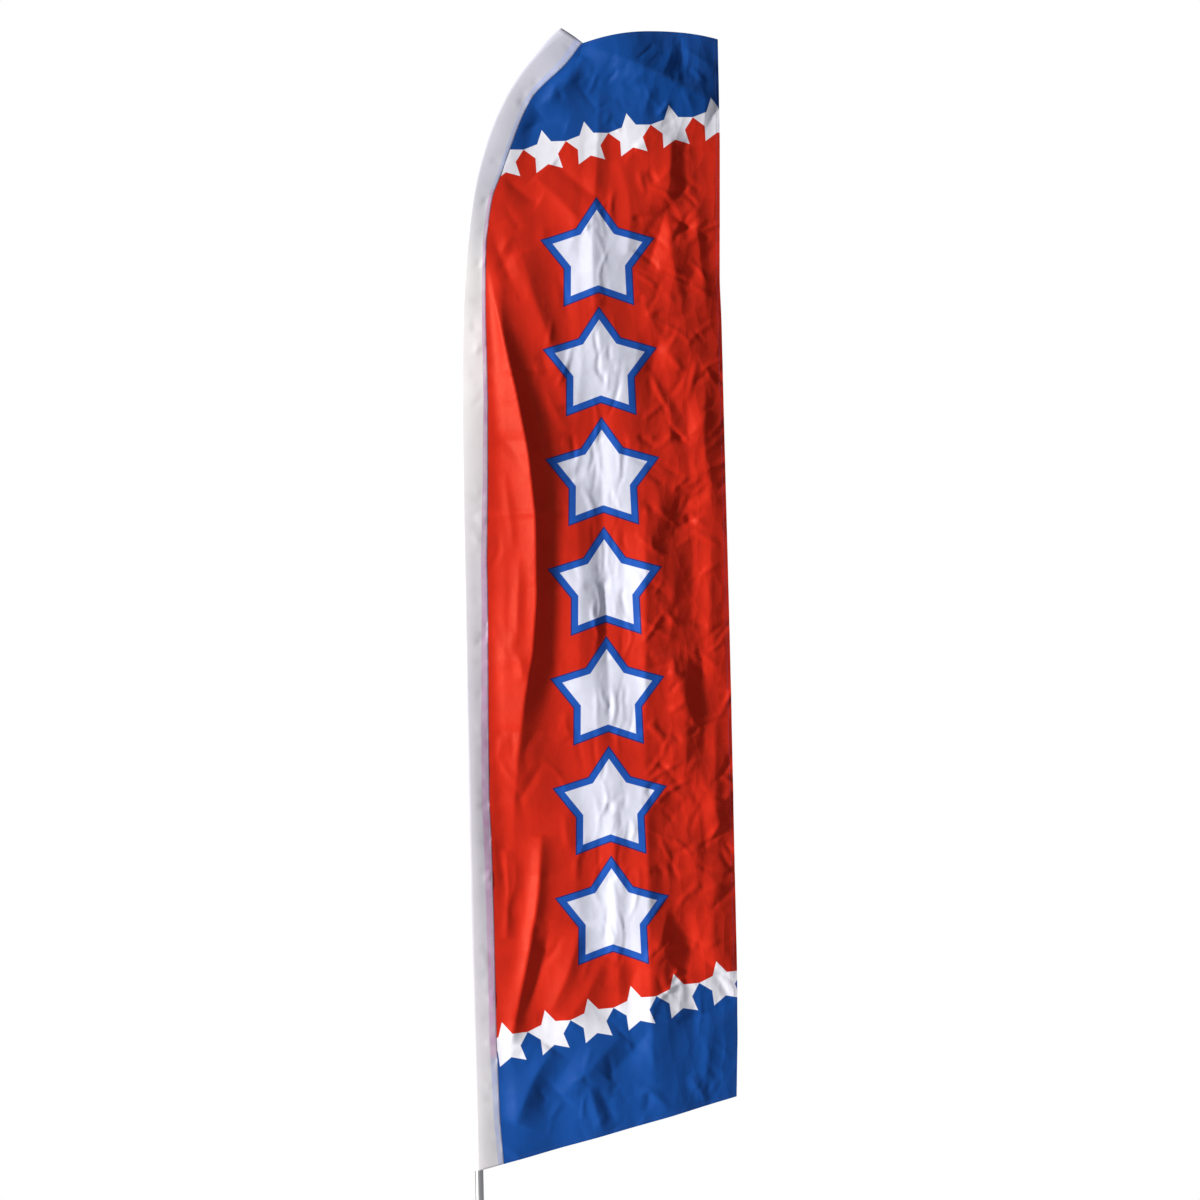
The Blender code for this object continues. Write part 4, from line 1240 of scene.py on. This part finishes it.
class FLAG_OT_make_stage(bpy.types.Operator):
    """Make the floor, the light and the camera"""

    bl_idname = "flag.make_stage"
    bl_label = "Make Stage"

    def execute(self, context):
        stage = context.scene.flag_stage
        self.make_floor(stage)
        self.make_sky(context, stage)
        self.make_sun("key_light", (-0.91, -0.40, 0.10), stage.key_strength, stage.softness)
        self.make_sun("fill_light", (0.30, -0.90, 0.30), stage.fill_strength, stage.softness)
        self.make_sun("back_light", (0.35, 0.85, 0.40), stage.back_strength, stage.softness)
        self.make_camera(context, stage)
        return {"FINISHED"}

    def make_floor(self, stage):
        material, add, spot = new_finish("painted_floor")
        _, base = two_toned(
            add, "f0f0f0", "f8f8f8", "TexNoise", {"Vector": spot, "Scale": 6.0, "Detail": 4.0}
        )
        close_finish(add, base, (), Roughness=0.8)
        shape = bmesh.new()
        bmesh.ops.create_circle(shape, cap_ends=True, segments=96, radius=stage.floor_radius)
        lowest = CAD_BOX[0][2] - FLOOR_GAP
        bmesh.ops.translate(shape, verts=shape.verts, vec=(0, 0, lowest))
        mesh = bpy.data.meshes.new("floor")
        shape.to_mesh(mesh)
        shape.free()
        mesh.materials.append(material)
        show("floor", mesh)

    def make_sky(self, context, stage):
        world = bpy.data.worlds.new("studio")
        world.use_nodes = True
        tree = world.node_tree
        tree.nodes.clear()
        add = partial(add_node, tree)
        # the paper behind is white, and darkens to both sides so that white cloth shows on it
        seen = add("LightPath")
        way = add("TexCoord")
        across = add("SeparateXYZ", {"Vector": way})
        aside = add("Math", {0: across}, operation="ABSOLUTE")
        paper = add(
            "MapRange",
            {"Value": aside, "From Min": 0.30, "From Max": 0.80, "To Min": 1.0, "To Max": 0.74},
        )
        backdrop = add("Background", {"Color": paper, "Strength": 1.0})
        sky = add("Background", {"Color": rgba(linear("dfe7ff")), "Strength": stage.sky_strength})
        mixed = add("MixShader", {0: seen, 1: sky, 2: backdrop})
        add("OutputWorld", {"Surface": mixed}, output=None)
        context.scene.world = world
        context.scene.view_settings.view_transform = "Standard"

    def make_sun(self, name, towards, strength, softness):
        light = bpy.data.lights.new(name, "SUN")
        light.energy = strength
        light.angle = softness
        light.color = linear("fffaf2")
        show(name, light).rotation_euler = Vector(towards).to_track_quat("Z", "Y").to_euler()

    def make_camera(self, context, stage):
        data = bpy.data.cameras.new("camera")
        data.lens = stage.camera_lens
        camera = show("camera", data)
        camera.location = (stage.camera_x, -stage.camera_distance, stage.camera_z)
        camera.rotation_euler = (math.radians(90), stage.camera_roll, 0)
        context.scene.camera = camera


STEPS = (
    FLAG_OT_make_stage, FLAG_OT_make_panel, FLAG_OT_make_sleeve, FLAG_OT_make_hems, FLAG_OT_sew,
    FLAG_OT_finish_hardware, FLAG_OT_declare_cloth,
)


class FLAG_PT_panel(bpy.types.Panel):
    """Sidebar panel with the settings and the steps"""

    bl_idname = "FLAG_PT_panel"
    bl_label = "Feather Flag"
    bl_space_type = "VIEW_3D"
    bl_region_type = "UI"
    bl_category = "Feather Flag"

    def draw(self, context):
        layout = self.layout
        for group in (context.scene.flag_cloth, context.scene.flag_print, context.scene.flag_stage):
            box = layout.box()
            for name in group.__annotations__:
                box.prop(group, name)
        for step in STEPS:
            layout.operator(step.bl_idname)


CLASSES = (ClothSettings, PrintSettings, StageSettings, *STEPS, FLAG_PT_panel)


def register():
    for cls in CLASSES:
        bpy.utils.register_class(cls)
    bpy.types.Scene.flag_cloth = PointerProperty(type=ClothSettings)
    bpy.types.Scene.flag_print = PointerProperty(type=PrintSettings)
    bpy.types.Scene.flag_stage = PointerProperty(type=StageSettings)


def unregister():
    del bpy.types.Scene.flag_stage
    del bpy.types.Scene.flag_print
    del bpy.types.Scene.flag_cloth
    for cls in reversed(CLASSES):
        bpy.utils.unregister_class(cls)


def main():
    register()
    bpy.ops.flag.make_stage()
    bpy.ops.flag.make_panel()
    bpy.ops.flag.make_sleeve()
    bpy.ops.flag.make_hems()
    bpy.ops.flag.sew()
    bpy.ops.flag.finish_hardware()
    bpy.ops.flag.declare_cloth()


if __name__ == "__main__":
    main()
